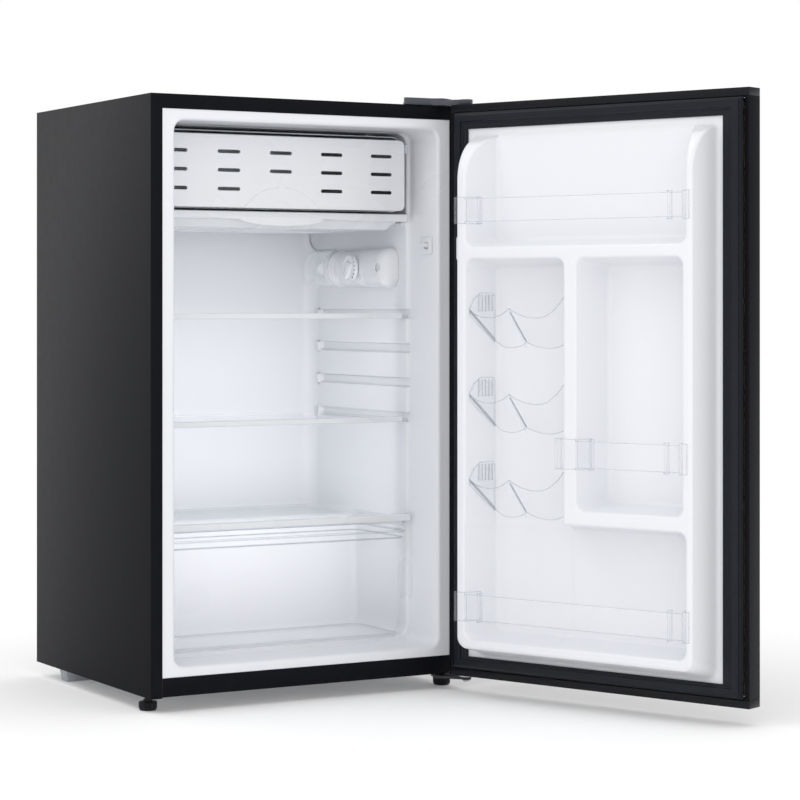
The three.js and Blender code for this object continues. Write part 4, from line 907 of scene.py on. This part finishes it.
def drawer():
    """The clear drawer: thin drafted walls, round corners, a stepped collar and a raised front."""
    floor, shoulder, collar = (54, 431, 76, 206), (47, 438, 71, 221), (44.5, 440.5, 69, 224)
    wall = 2.2

    def ring(z, box, inset, front):
        """A level round the drawer, inset from a box of X and Y limits and raised at the front."""
        x0, x1, y0, y1 = box
        plan = rounded(x0 + inset, x1 - inset, y0 + inset, y1 - inset, 14 - inset, 10)
        return [(x, y, z + front * min(max((collar[2] + 17 - y) / 5, 0), 1)) for x, y in plan]

    outside = [(45.9, floor, 3.2, 0), (49.1, floor, 0, 0),
               (189, shoulder, 0.2, 0), (189.6, shoulder, -0.9, 0), (198, shoulder, -1, 0),
               (198.8, collar, 0, 0), (205, collar, 0, 7.6), (205.5, collar, 0.5, 7.7)]
    inside = [(205.5, collar, wall - 0.5, 7.7), (205, collar, wall, 7.6), (200.4, collar, wall, 0),
              (199.4, collar, wall + 0.8, 0), (198.8, shoulder, wall - 1, 0),
              (190.4, shoulder, wall - 0.9, 0), (189.8, shoulder, wall + 0.2, 0),
              (51, floor, wall, 0), (48.6, floor, wall + 2.4, 0)]
    rings = [ring(*line) for line in outside + inside]
    item = loft("crisper_drawer_body", rings, MATERIALS["drawer_plastic"], smooth=24)
    return place(item, "crisper_drawer", "clear_plastic", "crisper_drawer")


# ------------------------------------------------------------------ levelling feet
FOOT_SIDES = 112  # four to a rib


def levelling_foot(side, centre):
    """A ribbed adjusting ring on a rounded pad, with its threaded shank."""
    profile = [(9.5, -21, 0), (11.2, -20.6, 0), (11.6, -19.4, 0), (11.6, -18.6, 0), (12, -18, 1),
               (12, -10, 1), (11.6, -9.4, 0), (10.6, -9, 0), (6.4, -8.6, 0), (6.1, -6, 0)]
    thread = [(4.1 if i % 2 else 3.6, -6 + 0.6 * i, 0) for i in range(31)]
    rings = []
    for radius, z, ribbed in profile + thread:
        ring = []
        for k in range(FOOT_SIDES):
            t = 2 * math.pi * k / FOOT_SIDES
            reach = radius + (0.5 if k % 4 in (0, 1) else -0.25) * ribbed
            ring.append((centre[0] + reach * math.cos(t), centre[1] + reach * math.sin(t), z))
        rings.append(ring)
    item = loft(f"levelling_foot_{side}_turned", rings, MATERIALS["black_plastic"])
    return place(item, f"levelling_foot_{side}", "black_plastic", f"levelling_foot_{side}")


# ------------------------------------------------------------------ back panel screws
def back_screws():
    """Pan-head screws round the back panel."""
    profile = [(4.2, 408.1), (4.2, 408.7), (3.6, 409.7), (2.2, 410.2), (1.8, 409.3), (0, 409.3)]
    spots = [(x, z) for x in (14, WIDTH - 14) for z in (204, 352, 500, 648, 796)]
    spots += [(x, z) for x in (165, 320) for z in (204, 796)]
    screws = [turned(f"screw_{i}", profile, "y", (x, 0, z), MATERIALS["zinc_steel"], sides=20)
              for i, (x, z) in enumerate(spots)]
    return place(join_objects("back_panel_screws", screws), "cabinet", "zinc_steel")


# ------------------------------------------------------------------ gasket
GASKET = {"outer": (9, WIDTH - 8, PANEL_LOW + 1, PANEL_HIGH - 1), "lip": (31.3, 446.5, 32, 775.2)}
GASKET_PROFILE = (
    (0.4, 0.3), (0, 0.9), (0, 2.6), (0.5, 3.4), (1.5, 3.7), (2, 4.3), (1.4, 5.1), (1.5, 6.0),
    (2.4, 6.6), (3.4, 6.9), (3.7, 7.7), (3.5, 9.2), (4.1, 10.1), (5.2, 10.5), (11.6, 10.5),
    (12.9, 10.1), (13.5, 9.2), (13.3, 7.8), (13.7, 7.0), (15.2, 6.7), (16, 6.0), (15.7, 5.0),
    (16.2, 4.0), (17.2, 3.5))


def gasket():
    """The magnetic gasket: one ribbed profile mitred round the door's inner face."""
    u0, u1, z0, z1 = GASKET["outer"]
    a0, a1, b0, b1 = GASKET["lip"]
    extra = [(a0 - u0, b0 - z0), (u1 - a1, b0 - z0), (u1 - a1, z1 - b1), (a0 - u0, z1 - b1)]
    corners = [(u0, z0, 1, 1), (u1, z0, -1, 1), (u1, z1, -1, -1), (u0, z1, 1, -1)]
    rings = []
    for (u, z, du, dz), (wide, high) in zip(corners, extra):
        ring = [(u + du * s, w, z + dz * s) for s, w in GASKET_PROFILE]
        ring += [(u + du * (wide - 0.4), 3.1, z + dz * (high - 0.4)),
                 (u + du * wide, 2.2, z + dz * high), (u + du * (wide - 0.3), 0.3, z + dz * (high - 0.3))]
        rings.append(ring)
    points = [p for ring in rings for p in ring]
    item = new_object("door_gasket_profile", from_door(points), stack(rings, True),
                      MATERIALS["gasket_rubber"], smooth=38)
    turn_outward(item)
    return place(item, "door", "gasket_rubber", "door_gasket")


# ------------------------------------------------------------------ CAD nodes kept as they are
EDGE_WIDTHS = {
    "cabinet_shell": 0.5, "front_rail": 0.4, "base_panel": 0.5, "back_panel": 0.5,
    "door_skin": 0.25, "door_top_cap": 0.8, "door_bottom_cap": 0.8, "top_hinge_cover": 1.0,
    "upper_shelf_glass": 0.5, "lower_shelf_glass": 0.5, "crisper_cover_glass": 0.5,
    "top_guard_rail": 0.5, "bottle_guard_rail": 0.5, "bottom_guard_rail": 0.5, "ice_box": 0.4,
}
OTHER_EDGES = 0.35


def finish_nodes():
    """Material and rounded edges for every CAD node that stays in view."""
    for name, node in frame["nodes"].items():
        node.data.materials.clear()
        finish = "hinge_plastic" if name == "top_hinge_cover" else SLOTS[name]
        node.data.materials.append(MATERIALS[finish])
        if not node.hide_render:
            clean_edges(node, EDGE_WIDTHS.get(name, OTHER_EDGES))


# ------------------------------------------------------------------ camera, lights and floor
def camera():
    """The photo's view: level, with a long lens shifted down."""
    data = bpy.data.cameras.new("camera")
    data.lens = 111.45
    data.shift_y = -0.122
    item = bpy.data.objects.new("camera", data)
    item.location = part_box("cabinet_shell")[0] + Vector((-1.3667, -3.0409, 0.5324))
    item.rotation_euler = (math.radians(90), 0, math.radians(-29.95))
    bpy.context.scene.collection.objects.link(item)
    bpy.context.scene.camera = item


def area_light(name, place_at, aim, size, power):
    """A square light, in metres and watts."""
    data = bpy.data.lights.new(name, "AREA")
    data.size = size
    data.energy = power
    item = bpy.data.objects.new(name, data)
    item.location = place_at
    item.rotation_euler = (Vector(aim) - Vector(place_at)).to_track_quat("-Z", "Y").to_euler()
    bpy.context.scene.collection.objects.link(item)
    return item


def inside_light(name, place_at, aim, wide, high, power, spread):
    """A faint oblong light in the cabinet that isn't seen itself, placed in cabinet millimetres."""
    item = area_light(name, *to_frame([place_at, aim]), wide, power)
    item.data.shape = "RECTANGLE"
    item.data.size_y = high
    item.data.spread = math.radians(spread)
    item.visible_camera = False
    item.visible_glossy = False


FLOOR_HALF = 9


def studio():
    world = bpy.data.worlds.new("studio")
    world.use_nodes = True
    world.node_tree.nodes["Background"].inputs["Color"].default_value = (1, 1, 1, 1)
    world.node_tree.nodes["Background"].inputs["Strength"].default_value = 1.0
    bpy.context.scene.world = world
    bpy.context.scene.view_settings.view_transform = "Standard"
    bpy.context.scene.cycles.transparent_max_bounces = 40
    area_light("front", (-0.9, -3.4, 1.3), (0, 0.2, 0.45), 2.2, 6)
    area_light("top", (-1.6, 0.2, 3.0), (-0.2, 0, 0.4), 1.6, 11)
    inside_light("inside", (242, 96, 345), (242, 372, 345), 0.37, 0.42, 0.36, 150)
    inside_light("crisper", (250, 64, 150), (250, 234, 80), 0.36, 0.13, 0.018, 160)
    pale = surface("floor", (0.94, 0.94, 0.94), (0.92, 0.92, 0.92), (0.7, 0.8),
                   grain=(300, 0.02, 0.0003), patch=2, waves=0, Specular_IOR_Level=0.0,
                   Emission_Color=(1, 1, 1, 1), Emission_Strength=0.1)
    corners = [(x * FLOOR_HALF, y * FLOOR_HALF, 0) for x, y in ((-1, -1), (1, -1), (1, 1), (-1, 1))]
    floor = new_object("floor", corners, [(0, 1, 2, 3)], pale)
    floor.location.z = -0.0005


camera()
studio()
inner_liner()
door_liner()
gasket()
for rack_name, rack_level in RACK_LEVELS.items():
    can_rack(rack_name, rack_level)
foam()
back_screws()
flap()
tray()
housing()
lens()
knob()
plunger()
trims()
drawer()
levelling_foot("left", (12.5, 37))
levelling_foot("right", (472.5, 31))
finish_nodes()
